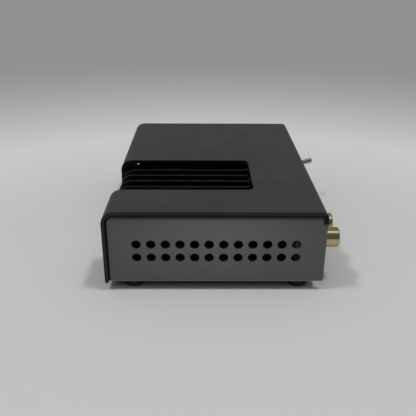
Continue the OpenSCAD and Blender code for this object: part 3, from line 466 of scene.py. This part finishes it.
# The board's screws and stand-offs are zinc plated too, but passivated black: dark with an oily film
blackZinc = makeFinish("zinc_plated_steel_black_passivated", {
    "base": "#2b2d30", "tint": "#232528", "edge": "#5d6064", "metallic": 1.0,
    "driftSize": 1.6, "patchSize": 1.2, "grainSize": 0.3, "grainDepth": 0.006,
    "roughness": (0.3, 0.48), "wear": 0.5,
})
finishNodes(blackZinc, "board_standoffs", "board_screws")

# Rubber, press moulded: soft black with a dusty bloom
footRubber = makeFinish("moulded_rubber_black", {
    "base": "#0f0f0f", "tint": "#181817", "edge": "#252524",
    "driftSize": 3, "patchSize": 1.5, "grainSize": 0.4, "grainDepth": 0.02,
    "roughness": (0.65, 0.85), "softEdge": 0.3, "wear": 0.5,
})
finishNodes(footRubber, "foot_front_left", "foot_front_right", "foot_rear_left", "foot_rear_right")

# Glass-epoxy laminate under a black solder mask: smooth and dark, with the weave faintly raised
boardMask = makeFinish("solder_masked_laminate", {
    "base": "#060907", "tint": "#080c09", "edge": "#2e2e20",
    "driftSize": 14, "patchSize": 6, "grainSize": 0.5, "grainDepth": 0.004,
    "roughness": (0.28, 0.38), "softEdge": 0.1, "wear": 0.8,
    "extra": {"Specular IOR Level": 0.3},
})
finishNodes(boardMask, "circuit_board")

# Epoxy, transfer moulded round a chip: charcoal with a fine sandy skin
chipEpoxy = makeFinish("moulded_epoxy_black", {
    "base": "#151516", "tint": "#1b1b1c", "edge": "#2d2d2e",
    "driftSize": 4, "patchSize": 2, "grainSize": 0.3, "grainDepth": 0.012,
    "roughness": (0.5, 0.65), "wear": 0.3,
})
finishNodes(chipEpoxy, "output_chip_left", "output_chip_right", "bridge_rectifier")

# Silicone pad filled with ceramic powder: soft blue-grey putty
padSilicone = makeFinish("filled_silicone_pad", {
    "base": "#6f7b83", "tint": "#7f8a91", "edge": "#8e989e",
    "driftSize": 2, "patchSize": 1.5, "grainSize": 0.4, "grainDepth": 0.02,
    "roughness": (0.6, 0.8), "wear": 0.2,
})
finishNodes(padSilicone, "thermal_pads")

# Nylon and PBT, injection moulded: black with the faint flow and matt skin of a spark-eroded mould
blackMoulding = makeFinish("moulded_pbt_black", {
    "base": "#18191b", "tint": "#1f2022", "edge": "#3a3b3d",
    "driftSize": 6, "patchSize": 3, "grainSize": 0.35, "grainDepth": 0.008,
    "roughness": (0.42, 0.56), "wear": 0.4,
})
finishNodes(blackMoulding, "inlet_body", "jack_body", "muting_relay")

# The phono sockets' block: PBT too, but pigmented pale grey
greyMoulding = makeFinish("moulded_pbt_grey", {
    "base": "#a3a3a4", "tint": "#999a9b", "edge": "#b9b9ba",
    "driftSize": 6, "patchSize": 3, "grainSize": 0.35, "grainDepth": 0.008,
    "roughness": (0.42, 0.56), "wear": 0.4,
})
finishNodes(greyMoulding, "rca_body")

# Brass, turned and gold plated: pale gold, bright, with turning rings along the barrel.
# The real rings are under 0.1 mm apart; they are drawn coarser so that they show
goldPlate = makeFinish("gold_plated_brass_turned", {
    "base": "#c1b48f", "tint": "#b4a683", "edge": "#d6ccab", "metallic": 1.0,
    "driftSize": 5, "patchSize": 3, "grainSize": 0.35, "grainDepth": 0.006, "stretch": (0, 1, 0),
    "roughness": (0.13, 0.22), "wear": 0.5,
})
finishNodes(goldPlate, "rca_shell_left", "rca_shell_right", "rca_contact_left", "rca_contact_right")

# Polypropylene, moulded: one socket white, one red, both with a waxy gloss
whiteMoulding = makeFinish("moulded_polypropylene_white", {
    "base": "#dcdad2", "tint": "#d2d0c8", "edge": "#eceae2",
    "driftSize": 3, "patchSize": 2, "grainSize": 0.5, "grainDepth": 0.004,
    "roughness": (0.32, 0.42), "wear": 0.2,
    "extra": {"Subsurface Weight": 0.2, "Subsurface Scale": 0.0006},
})
finishNodes(whiteMoulding, "rca_insulator_left")
redMoulding = makeFinish("moulded_polypropylene_red", {
    "base": "#9c1f1b", "tint": "#8c1a17", "edge": "#b5352f",
    "driftSize": 3, "patchSize": 2, "grainSize": 0.5, "grainDepth": 0.004,
    "roughness": (0.32, 0.42), "wear": 0.2,
    "extra": {"Subsurface Weight": 0.1, "Subsurface Scale": 0.0006},
})
finishNodes(redMoulding, "rca_insulator_right")

# Brass, nickel plated and left bright: warm silver with soft handling marks
nickelPlate = makeFinish("nickel_plated_brass", {
    "base": "#aeaba1", "tint": "#a09d95", "edge": "#c6c3ba", "metallic": 1.0,
    "driftSize": 3, "patchSize": 1.6, "grainSize": 0.4, "grainDepth": 0.004,
    "roughness": (0.16, 0.3), "wear": 0.5,
})
finishNodes(nickelPlate, "switch_nut", "switch_lever", "switch_bushing", "inlet_pin", "jack_nut",
            "jack_sleeve")

# Phenolic case of the switch, moulded: dull brick red with dark flecks
switchMoulding = makeFinish("moulded_phenolic_red", {
    "base": "#7c2a20", "tint": "#6a231b", "edge": "#94463a",
    "driftSize": 1.2, "patchSize": 2, "grainSize": 0.3, "grainDepth": 0.01,
    "roughness": (0.4, 0.55), "wear": 0.3,
})
finishNodes(switchMoulding, "switch_body")

# Nylon case of the potentiometer, moulded: slate blue with a soft sheen
potMoulding = makeFinish("moulded_nylon_blue_grey", {
    "base": "#26323e", "tint": "#2c3946", "edge": "#465565",
    "driftSize": 4, "patchSize": 2, "grainSize": 0.35, "grainDepth": 0.008,
    "roughness": (0.42, 0.55), "wear": 0.3,
})
finishNodes(potMoulding, "volume_pot")

# ABS thumb wheel, moulded with a matt skin; fingers polish the tops of the ridges
wheelMoulding = makeFinish("moulded_abs_black", {
    "base": "#161617", "tint": "#1b1b1c", "edge": "#38383a",
    "driftSize": 5, "patchSize": 1.2, "grainSize": 0.3, "grainDepth": 0.012,
    "roughness": (0.38, 0.6), "softEdge": 0.12, "wear": 0.6,
})
finishNodes(wheelMoulding, "volume_wheel")

# Phosphor bronze, rolled and sprung: warm yellow metal with fine lines along the strip
contactBronze = makeFinish("phosphor_bronze_sprung", {
    "base": "#b98f4a", "tint": "#a97f40", "edge": "#dcb878", "metallic": 1.0,
    "driftSize": 2, "patchSize": 1, "grainSize": 0.3, "grainDepth": 0.005, "stretch": (1, 0.1, 1),
    "roughness": (0.25, 0.4), "wear": 0.5,
})
finishNodes(contactBronze, "volume_spindle", "jack_tip_contact", "jack_ring_contact", "jack_sleeve_contact")

# Polycarbonate lens, moulded milky; it is no lamp, but a faint painted glow, set as emission, stands in for
# light from outside the wall
lensMilky = makeFinish("moulded_polycarbonate_milky", {
    "base": "#b4b6b2", "tint": "#abada9", "edge": "#c4c6c2",
    "driftSize": 2, "patchSize": 1, "grainSize": 0.4, "grainDepth": 0.003,
    "roughness": (0.2, 0.3), "wear": 0.2,
    "extra": {"IOR": 1.585, "Subsurface Weight": 0.6, "Subsurface Scale": 0.0015,
              "Emission Strength": 0.65},
})
finishNodes(lensMilky, "power_light")
tinned = "#8f9192"
powerLight = {"legTop": 12.9, "rimFront": -46.85, "rimBack": -46.3, "paintedGlow": (0.9, 0.95, 0.9, 1)}
look = powerLight
overlay(lensMilky, tinned, insideBox(lensMilky, (None, None, None), (None, None, look["legTop"])), metal=True)
# painted glow: emission is laid where the flange ends and the barrel starts
rim = insideBox(lensMilky, (None, look["rimFront"], look["legTop"]), (None, look["rimBack"], None))
paintedGlow = addNode(lensMilky["tree"], "Mix", {"data_type": "RGBA"}, {6: (0, 0, 0, 1), 7: look["paintedGlow"]},
               {0: rim.outputs[0]})
lensMilky["tree"].links.new(paintedGlow.outputs[2], lensMilky["shader"].inputs["Emission Color"])

# PVC sleeve shrunk over an aluminium can: glossy black, drawn tight
sleevePvc = makeFinish("shrunk_pvc_sleeve", {
    "base": "#16171b", "tint": "#1b1c21", "edge": "#34363c",
    "driftSize": 5, "patchSize": 4, "grainSize": 0.8, "grainDepth": 0.01, "stretch": (1, 1, 0.2),
    "roughness": (0.24, 0.36), "wear": 0.3,
})
finishNodes(sleevePvc, "filter_capacitor_1", "filter_capacitor_2", "filter_capacitor_3", "filter_capacitor_4")
# printed stripe that marks the negative lead
stripe = {"colour": "#8b9097", "way": (-0.94, 0.34, 0), "limit": 0.93}
overlay(sleevePvc, stripe["colour"], facingWay(sleevePvc, stripe["way"], stripe["limit"]))

# Regulators: moulded epoxy in front, with a tinned copper tab behind it and tinned legs below
regulatorCase = makeFinish("moulded_epoxy_with_tinned_tab", {
    "base": "#141415", "tint": "#19191a", "edge": "#2c2c2d",
    "driftSize": 4, "patchSize": 2, "grainSize": 0.3, "grainDepth": 0.01,
    "roughness": (0.45, 0.6), "wear": 0.3,
})
finishNodes(regulatorCase, "regulator_positive", "regulator_negative")
regulator = {"tabThick": 1.3, "legLength": 4}
low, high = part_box("regulator_positive")
tabFront, legTop = high[1] / mm - regulator["tabThick"], low[2] / mm + regulator["legLength"]
overlay(regulatorCase, tinned, insideBox(regulatorCase, (None, tabFront, None), (None, None, None)),
        metal=True)
overlay(regulatorCase, tinned, insideBox(regulatorCase, (None, None, None), (None, None, legTop)),
        metal=True)

# PET film capacitors: a blue-grey thermoplastic box, smooth from its mould
filmCase = makeFinish("moulded_polyester_box_blue", {
    "base": "#1a2a40", "tint": "#1e3048", "edge": "#3b5070",
    "driftSize": 4, "patchSize": 2, "grainSize": 0.4, "grainDepth": 0.006,
    "roughness": (0.35, 0.48), "wear": 0.3,
})

# Chip parts: black resistor glaze and tan sintered ceramic, both hard and fairly smooth
resistorGlaze = makeFinish("fired_glaze_black", {
    "base": "#121213", "tint": "#19191a", "edge": "#2c2c2c",
    "driftSize": 1.5, "patchSize": 1, "grainSize": 0.25, "grainDepth": 0.004,
    "roughness": (0.25, 0.4), "wear": 0.2,
})
ceramicBody = makeFinish("sintered_ceramic_tan", {
    "base": "#6f5a44", "tint": "#7a644d", "edge": "#8d7860",
    "driftSize": 1.5, "patchSize": 1, "grainSize": 0.25, "grainDepth": 0.006,
    "roughness": (0.4, 0.55), "wear": 0.2,
})

# Tinned copper legs and solder: soft grey metal with a frosty film
tinnedLead = makeFinish("tinned_copper_dipped", {
    "base": "#8f9192", "tint": "#7f8183", "edge": "#b5b7b8", "metallic": 1.0,
    "driftSize": 1.2, "patchSize": 0.8, "grainSize": 0.25, "grainDepth": 0.006,
    "roughness": (0.3, 0.5), "wear": 0.5,
})

# Aluminium can, deep drawn: pale satin metal with fine drawing marks
canAluminium = makeFinish("deep_drawn_aluminium", {
    "base": "#8e9092", "tint": "#85878a", "edge": "#b6b8ba", "metallic": 1.0,
    "driftSize": 3, "patchSize": 1.5, "grainSize": 0.3, "grainDepth": 0.006, "stretch": (1, 1, 0.1),
    "roughness": (0.3, 0.45), "wear": 0.4,
})

# White filling of the wheel's index line: acrylic paint wiped into the groove
markInlay = makeFinish("acrylic_paint_white", {
    "base": "#c9c8c2", "tint": "#bcbbb5", "edge": "#d8d7d2",
    "driftSize": 1, "patchSize": 0.6, "grainSize": 0.2, "grainDepth": 0.006,
    "roughness": (0.5, 0.65), "wear": 0.2,
})
print("finishes ready")

# Mesh helpers, all in millimetres


# A node's lowest and highest corners
def cornersOf(name):
    low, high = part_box(name)
    return Vector(low) / mm, Vector(high) / mm


# Turns an outline of (along, radius) points round an axis; either value may be a function of the angle
def turned(bm, outline, centre, axis, steps=64, closed=False):
    axis = Vector(axis)
    side = Vector((1, 0, 0)) if abs(axis.z) > 0.9 else Vector((0, 0, 1)).cross(axis)
    rise = axis.cross(side)
    rows = []
    for along, radius in outline:
        row = []
        for i in range(steps):
            angle = 2 * math.pi * i / steps
            height = along(angle) if callable(along) else along
            reach = radius(angle) if callable(radius) else radius
            spoke = side * math.cos(angle) + rise * math.sin(angle)
            row.append(bm.verts.new(Vector(centre) + axis * height + spoke * reach))
        rows.append(row)
    following = rows[1:] + rows[:1] if closed else rows[1:]
    for low, high in zip(rows, following):
        for i in range(steps):
            j = (i + 1) % steps
            bm.faces.new((low[i], low[j], high[j], high[i]))


# Box between two corners, with rounded edges
def block(bm, low, high, rounding, steps=2):
    low, high = Vector(low), Vector(high)
    points = bmesh.ops.create_cube(bm, size=1.0)["verts"]
    for point in points:
        point.co = (low + high) / 2 + Vector([a * b for a, b in zip(point.co, high - low)])
    edges = list(dict.fromkeys(edge for point in points for edge in point.link_edges))
    bmesh.ops.bevel(bm, geom=edges, offset=rounding, segments=steps, profile=0.5, affect="EDGES")


# Flat strip along a path, mitred at its bends
def strip(bm, path, across, width, thick):
    path = [Vector(point) for point in path]
    across = Vector(across).normalized()
    rows = []
    for i, point in enumerate(path):
        last = i + 1 == len(path)
        ahead = (point - path[i - 1] if last else path[i + 1] - point).normalized()
        behind = (point - path[i - 1]).normalized() if i else ahead
        run = (ahead + behind).normalized()
        rise = across.cross(run) * (thick / 2 / max(0.4, run.dot(ahead)))
        half = across * (width / 2)
        corners = ((-half, -rise), (half, -rise), (half, rise), (-half, rise))
        rows.append([bm.verts.new(point + a + b) for a, b in corners])
    for low, high in zip(rows, rows[1:]):
        for i in range(4):
            j = (i + 1) % 4
            bm.faces.new((low[i], low[j], high[j], high[i]))
    bm.faces.new(rows[0])
    bm.faces.new(rows[-1])


# Turns bmesh work into a piece that rides a body, with its own origin and finish
def addPiece(name, bm, body, finish, stands=(), place=(0, 0, 0), sharp=35):
    bmesh.ops.remove_doubles(bm, verts=bm.verts, dist=0.0005)
    bmesh.ops.recalc_face_normals(bm, faces=bm.faces)
    bmesh.ops.translate(bm, vec=-Vector(place), verts=bm.verts)
    bmesh.ops.scale(bm, vec=(mm, mm, mm), verts=bm.verts)
    mesh = bpy.data.meshes.new(name)
    bm.to_mesh(mesh)
    bm.free()
    for polygon in mesh.polygons:
        polygon.use_smooth = True
    mesh.set_sharp_from_angle(angle=math.radians(sharp))
    mesh.materials.append(finish["material"])
    piece = bpy.data.objects.new(name, mesh)
    piece.location = Vector(place) * mm
    scene.collection.objects.link(piece)
    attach(piece, body)
    if stands:
        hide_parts(*stands)
    return piece


# Feet: low rubber cones with rounded rims, hollow in the middle underneath
rubberFoot = {"topRadius": 4.8, "waistRadius": 4.32, "footprint": 3.8, "hollowRadius": 1.6,
              "hollowDepth": 0.6}
look = rubberFoot
for corner in ("front_left", "front_right", "rear_left", "rear_right"):
    low, high = cornersOf("foot_" + corner)
    tall = high.z - low.z
    bm = bmesh.new()
    turned(bm, [
        (look["hollowDepth"], 0), (look["hollowDepth"], look["hollowRadius"] - 0.25),
        (look["hollowDepth"] - 0.12, look["hollowRadius"] - 0.05), (0.1, look["hollowRadius"]),
        (0, look["hollowRadius"] + 0.15), (0, look["footprint"] - 0.1), (0.08, look["footprint"] + 0.12),
        (0.3, look["waistRadius"] - 0.12), (0.6, look["waistRadius"]), (tall - 0.4, look["topRadius"] - 0.06),
        (tall - 0.12, look["topRadius"]), (tall, look["topRadius"] - 0.1), (tall, 0),
    ], ((low.x + high.x) / 2, (low.y + high.y) / 2, low.z), (0, 0, 1))
    addPiece("rubber_foot_" + corner, bm, "case", footRubber, ["foot_" + corner])
print("feet ready")

# Power switch: threaded bushing and a hexagonal nut with turned-off corners
switchBushing = {"crest": 3.0, "pitch": 0.75, "threadDepth": 0.4, "plainEnd": 0.4, "bore": 1.95,
                 "lip": 1.75, "lipDepth": 0.944}
switchNut = {"flats": 8.0, "bore": 3.0, "bevel": 0.25, "chamfer": 0.35}
jackNut = {"flats": 11.0, "bore": 4.5, "bevel": 0.25, "chamfer": 0.3}
coneSlope = 1.73  # the corners are turned off at 30 degrees to the face


# Ring-shaped hexagonal nut whose corners are turned off to a cone at both faces
def hexNut(bm, look, thick, centre, axis):
    half, bore, bevel = look["flats"] / 2, look["bore"], look["bevel"]

    def rim(height):
        cone = half + min(height, thick - height) * coneSlope
        return lambda angle: min(half / math.cos(angle % (math.pi / 3) - math.pi / 6), half * 1.1, cone)
    levels = [look["chamfer"] * i / 4 for i in range(5)]
    levels += [thick - level for level in reversed(levels)]
    outline = [(bevel, bore), (0, bore + bevel)] + [(level, rim(level)) for level in levels]
    outline += [(thick, bore + bevel), (thick - bevel, bore)]
    turned(bm, outline, centre, axis, steps=96, closed=True)


# Radius at a height of the bushing as a function of the angle, so that its groove winds round it
def threadAt(along, look):
    def radius(angle):
        turn = (along / look["pitch"] - angle / (2 * math.pi)) % 1
        cut = max(0.0, 1 - abs(turn - 0.5) / 0.42)
        return look["crest"] - look["threadDepth"] * cut
    return radius


look = switchBushing
low, high = cornersOf("switch_bushing")
long = high.y - low.y
threaded = long - look["plainEnd"]
root = look["crest"] - look["threadDepth"]
lipStart = long - look["lipDepth"]
steps = int(threaded / look["pitch"] * 8)
outline = [(0, look["bore"]), (0, root)]
outline += [(threaded * i / steps, threadAt(threaded * i / steps, look)) for i in range(1, steps + 1)]
outline += [(long, root - 0.05), (long, look["lip"] + 0.1), (long - 0.1, look["lip"]),
            (lipStart, look["lip"]), (lipStart - 0.02, look["bore"])]
bm = bmesh.new()
turned(bm, outline, ((low.x + high.x) / 2, low.y, (low.z + high.z) / 2), (0, 1, 0), closed=True)
addPiece("switch_bushing_threaded", bm, "case", nickelPlate, ["switch_bushing"])

low, high = cornersOf("switch_nut")
bm = bmesh.new()
hexNut(bm, switchNut, high.y - low.y, ((low.x + high.x) / 2, low.y, (low.z + high.z) / 2), (0, 1, 0))
addPiece("switch_nut_chamfered", bm, "case", nickelPlate, ["switch_nut"])
print("power switch ready")

# Headphone socket: nut and sleeve with a lead-in for the plug
jackSleeve = {"outer": 4.5, "bore": 3.2, "leadIn": 0.5, "edge": 0.2}
low, high = cornersOf("jack_nut")
centre = Vector(((low.x + high.x) / 2, high.y, (low.z + high.z) / 2))
bm = bmesh.new()
hexNut(bm, jackNut, high.y - low.y, centre, (0, -1, 0))
addPiece("jack_nut_chamfered", bm, "case", nickelPlate, ["jack_nut"])
look = jackSleeve
low, high = cornersOf("jack_sleeve")
long = high.y - low.y
outer, bore, edge, leadIn = look["outer"], look["bore"], look["edge"], look["leadIn"]
bm = bmesh.new()
turned(bm, [(0, bore), (0, outer - edge), (edge, outer), (long - edge, outer), (long, outer - edge),
            (long, bore + leadIn), (long - leadIn * 0.4, bore + leadIn * 0.4), (long - leadIn, bore)],
       (centre.x, high.y, centre.z), (0, -1, 0), closed=True)
addPiece("jack_sleeve_chamfered", bm, "case", nickelPlate, ["jack_sleeve"])
print("headphone socket ready")

# Thumb wheel: an index line inlaid in the top face, pointing forwards at the middle of its turn
wheelMark = {"width": 0.7, "from": 6.2, "to": 9.3, "proud": 0.03}
look = wheelMark
low, high = cornersOf("volume_wheel")
axle = (low + high) / 2
bm = bmesh.new()
block(bm, (axle.x - look["width"] / 2, axle.y - look["to"], high.z - 0.1),
      (axle.x + look["width"] / 2, axle.y - look["from"], high.z + look["proud"]), 0.02, 1)
addPiece("wheel_index_line", bm, "volume_wheel", markInlay)
print("thumb wheel ready")

# Filter capacitors: shrunk sleeve with a polarity stripe, crimp ring at the foot and a scored metal top
filterCan = {"radius": 6.25, "waist": 0.35, "curl": 0.9, "sunk": 0.3, "scoreDepth": 0.18,
             "scoreWidth": 0.12, "scoreRings": (4.2, 3.4, 2.6, 1.8, 1.2, 0.7)}


# Height of the can's top on a ring of it as a function of the angle: a cross is scored into it
def scored(height, reach, look):
    def at(angle):
        away = abs((angle + math.pi / 4) % (math.pi / 2) - math.pi / 4) * reach
        return height - look["scoreDepth"] * max(0.0, 1 - away / (look["scoreWidth"] * 2))
    return at


look = filterCan
for number in (1, 2, 3, 4):
    low, high = cornersOf("filter_capacitor_%d" % number)
    foot = Vector(((low.x + high.x) / 2, (low.y + high.y) / 2, low.z))
    r, tall = look["radius"], high.z - low.z
    bm = bmesh.new()
    waist, curl = r - look["waist"], r - look["curl"]
    turned(bm, [(0, r - 0.7), (0.1, r - 0.25), (0.5, r - 0.02), (1.7, r), (2.2, r - 0.1), (2.6, waist),
                (3.0, waist), (3.4, r - 0.1), (3.9, r), (tall - 0.5, r), (tall - 0.2, r - 0.12),
                (tall - 0.03, r - 0.4), (tall, r - 0.6), (tall - 0.02, curl), (tall - 0.12, curl - 0.02)],
           foot, (0, 0, 1), steps=72)
    addPiece("capacitor_sleeve_%d" % number, bm, "case", sleevePvc,
             ["filter_capacitor_%d" % number], place=foot)
    inner, top = curl + 0.05, tall - look["sunk"]
    rings = [(tall - 0.5, inner), (tall - 0.1, inner), (tall - 0.12, inner - 0.25), (top, inner - 0.45)]
    rings += [(scored(top, reach, look), reach) for reach in look["scoreRings"]]
    rings += [(top - look["scoreDepth"], 0.0)]
    bm = bmesh.new()
    turned(bm, rings, foot, (0, 0, 1), steps=144)
    addPiece("capacitor_top_%d" % number, bm, "case", canAluminium,
             ["filter_capacitor_%d" % number], place=foot)
print("filter capacitors ready")

# Small parts of the board. Their places are rows along the heat sink, the sockets and the supply
boardTop = cornersOf("circuit_board")[1].z


# Gull-wing leg from a body's edge, at a height, out along X and down to the board
def gullLeg(bm, edge, side, y, height, look):
    foot = boardTop + look["solder"]
    strip(bm, [(edge - side * 0.1, y, height), (edge + side * look["knee"], y, height),
               (edge + side * look["heel"], y, foot), (edge + side * look["legReach"], y, foot)],
          (0, 1, 0), look["legWidth"], look["legThick"])


smallOutline = {
    "length": 4.9, "width": 3.9, "lift": 0.15, "height": 1.5, "rounding": 0.12,
    "legs": 4, "legPitch": 1.27, "legWidth": 0.42, "legThick": 0.2, "legRise": 0.75,
    "knee": 0.35, "heel": 0.5, "legReach": 1.05, "solder": 0.12,
    "places": ((-23.5, -38.0), (-23.5, -28.0), (2.6, -34.0), (2.6, -20.0), (45.5, -20.0), (45.5, 2.0),
               (14.0, 27.0)),
}
look = smallOutline
bodies, legs = bmesh.new(), bmesh.new()
for x, y in look["places"]:
    z = boardTop + look["lift"]
    block(bodies, (x - look["width"] / 2, y - look["length"] / 2, z),
          (x + look["width"] / 2, y + look["length"] / 2, z + look["height"]), look["rounding"], 2)
    for side in (-1, 1):
        for i in range(look["legs"]):
            legY = y + (i - (look["legs"] - 1) / 2) * look["legPitch"]
            gullLeg(legs, x + side * look["width"] / 2, side, legY, z + look["legRise"], look)
addPiece("op_amp_bodies", bodies, "case", chipEpoxy)
addPiece("op_amp_legs", legs, "case", tinnedLead)

# Legs of the output chips and the bridge rectifier
outputLegs = {"legs": 5, "legPitch": 2.0, "legWidth": 0.8, "legThick": 0.25, "legRise": 1.4,
              "knee": 0.5, "heel": 0.7, "legReach": 1.5, "solder": 0.14}
bridgeLegs = {"along": (0.22, 0.78), "legWidth": 1.1, "legThick": 0.25, "legRise": 1.2,
              "knee": 0.4, "heel": 0.55, "legReach": 1.2, "solder": 0.14}
legs = bmesh.new()
look = outputLegs
for name in ("output_chip_left", "output_chip_right"):
    low, high = cornersOf(name)
    for side, edge in ((-1, low.x), (1, high.x)):
        for i in range(look["legs"]):
            legY = (low.y + high.y) / 2 + (i - (look["legs"] - 1) / 2) * look["legPitch"]
            gullLeg(legs, edge, side, legY, low.z + look["legRise"], look)
look = bridgeLegs
low, high = cornersOf("bridge_rectifier")
for side, edge in ((-1, low.x), (1, high.x)):
    for along in look["along"]:
        gullLeg(legs, edge, side, low.y + (high.y - low.y) * along, low.z + look["legRise"], look)
addPiece("power_chip_legs", legs, "case", tinnedLead)

# Chip resistors and ceramic chips in rows beside the parts that they serve
# Each row: its first place, the step to the next one, and how many
chipParts = {
    "length": 2.0, "width": 1.25, "height": 0.55, "ceramicExtra": 0.35, "cap": 0.4, "rounding": 0.06,
    "unfitted": 0.12, "resistorShare": 0.6, "seed": 11,
    "rows": (((-26.2, -34.2), (3.0, 0), 3), ((-26.2, -31.9), (3.0, 0), 3), ((-1.4, -43.0), (0, 2.4), 3),
             ((-1.4, -30.4), (0, 2.4), 4), ((2.2, -30.4), (0, 2.4), 3), ((6.3, -43.0), (0, 2.4), 3),
             ((6.3, -30.4), (0, 2.4), 4), ((6.3, -15.8), (0, 2.4), 7), ((1.0, -12.0), (0, 2.9), 7),
             ((18.5, 22.5), (2.9, 0), 5)),
}
look = chipParts
dice = random.Random(look["seed"])
halfWide, half, cap = look["width"] / 2, look["length"] / 2, look["cap"]
resistors, ceramics, ends = bmesh.new(), bmesh.new(), bmesh.new()
for (x0, y0), (dx, dy), count in look["rows"]:
    for i in range(count):
        x, y = x0 + dx * i, y0 + dy * i
        if dice.random() < look["unfitted"]:
            continue
        resistor = dice.random() < look["resistorShare"]
        top = boardTop + look["height"] + (0 if resistor else look["ceramicExtra"])
        block(resistors if resistor else ceramics, (x - half + cap, y - halfWide, boardTop + 0.05),
              (x + half - cap, y + halfWide, top), look["rounding"], 1)
        for side in (-1, 1):
            a, b = sorted((x + side * (half - cap), x + side * half))
            block(ends, (a, y - halfWide - 0.02, boardTop + 0.03), (b, y + halfWide + 0.02, top + 0.02),
                  look["rounding"], 1)
addPiece("chip_resistors", resistors, "case", resistorGlaze)
addPiece("ceramic_chips", ceramics, "case", ceramicBody)
addPiece("chip_ends", ends, "case", tinnedLead)

# Film capacitors of the signal path: boxes cast full of epoxy, each on two wire legs
filmBox = {"size": (7.2, 2.5, 6.5), "lift": 0.3, "rounding": 0.25, "legPitch": 5.0, "wireThick": 0.5,
           "places": ((-24.0, -20.5), (2.6, -45.0), (44.5, 12.0), (44.5, 16.5), (4.0, 29.0), (4.0, 33.5))}
look = filmBox
long, deep, tall = look["size"]
thick = look["wireThick"]
bm = bmesh.new()
for x, y in look["places"]:  # wires before boxes: after a bevel their faces' order differs from run to run
    for side in (-1, 1):
        legX = x + side * look["legPitch"] / 2
        strip(bm, [(legX, y, boardTop - 0.2), (legX, y, boardTop + 0.5)], (1, 0, 0), thick, thick)
for x, y in look["places"]:
    block(bm, (x - long / 2, y - deep / 2, boardTop + look["lift"]),
          (x + long / 2, y + deep / 2, boardTop + tall), look["rounding"], 3)
addPiece("film_capacitors", bm, "case", filmCase)

# Small electrolytic cans by the chips
smallCan = {"radius": 2.5, "height": 7.0,
            "places": ((-50.0, -33.0), (-50.0, -20.0), (45.5, -11.0), (22.0, 31.0), (27.5, 25.5))}
look = smallCan
r, tall = look["radius"], look["height"]
outline = [(0.15, 0), (0.15, r - 0.5), (0.3, r - 0.1), (0.8, r), (1.0, r - 0.2), (1.3, r - 0.2), (1.5, r),
           (tall - 0.3, r), (tall - 0.08, r - 0.15), (tall, r - 0.4), (tall - 0.05, r - 0.6),
           (tall - 0.12, r - 0.7), (tall - 0.12, 0)]
bm = bmesh.new()
for x, y in look["places"]:
    turned(bm, outline, (x, y, boardTop), (0, 0, 1), steps=40)
addPiece("small_electrolytics", bm, "case", sleevePvc)

# Copper tracks under the mask, drawn a little thicker than they are so that they show, and tinned pads
tracks = {"width": 0.9, "thick": 0.1, "runs": (
    ((-23.5, -44.5), (-23.5, -41.5), (-26.6, -38.4), (-26.6, -20.0)),
    ((-19.0, -44.5), (-19.0, -22.0), (-21.5, -19.5), (-21.5, -16.5)),
    ((0.8, -42.0), (0.8, -38.0), (-0.6, -36.6), (-0.6, -12.0), (1.4, -10.0), (1.4, 14.0)),
    ((4.3, -42.0), (4.3, -14.0), (3.9, -13.6), (3.9, 14.0)),
    ((42.0, -34.0), (42.0, 8.0), (40.0, 10.0), (40.0, 26.0)),
    ((57.0, -34.0), (57.0, -4.0), (56.4, -3.4), (56.4, 14.0)),
    ((-46.0, -20.0), (-34.0, -20.0), (-31.0, -17.0), (-29.0, -17.0)),
    ((-55.0, -33.0), (-55.0, -2.0), (-56.0, -1.0), (-56.0, 22.0)),
    ((10.0, 25.0), (20.0, 25.0), (23.0, 28.0), (31.0, 28.0)),
)}
look = tracks
bm = bmesh.new()
for run in look["runs"]:
    strip(bm, [(x, y, boardTop) for x, y in run], (0, 0, 1), look["thick"], look["width"])
addPiece("board_tracks", bm, "case", boardMask)
solderPad = {"radius": 1.0, "height": 0.25, "wireEnd": 0.3}
look = solderPad
r, tall = look["radius"], look["height"]
outline = [(0.0, r), (0.06, r), (0.12, r * 0.7), (tall, r * 0.35), (tall + look["wireEnd"], r * 0.3),
           (tall + look["wireEnd"] + 0.02, 0)]
bm = bmesh.new()
for run in tracks["runs"]:
    for x, y in (run[0], run[-1]):
        turned(bm, outline, (x, y, boardTop), (0, 0, 1), steps=24)
addPiece("solder_pads", bm, "case", tinnedLead)
print("board parts ready")
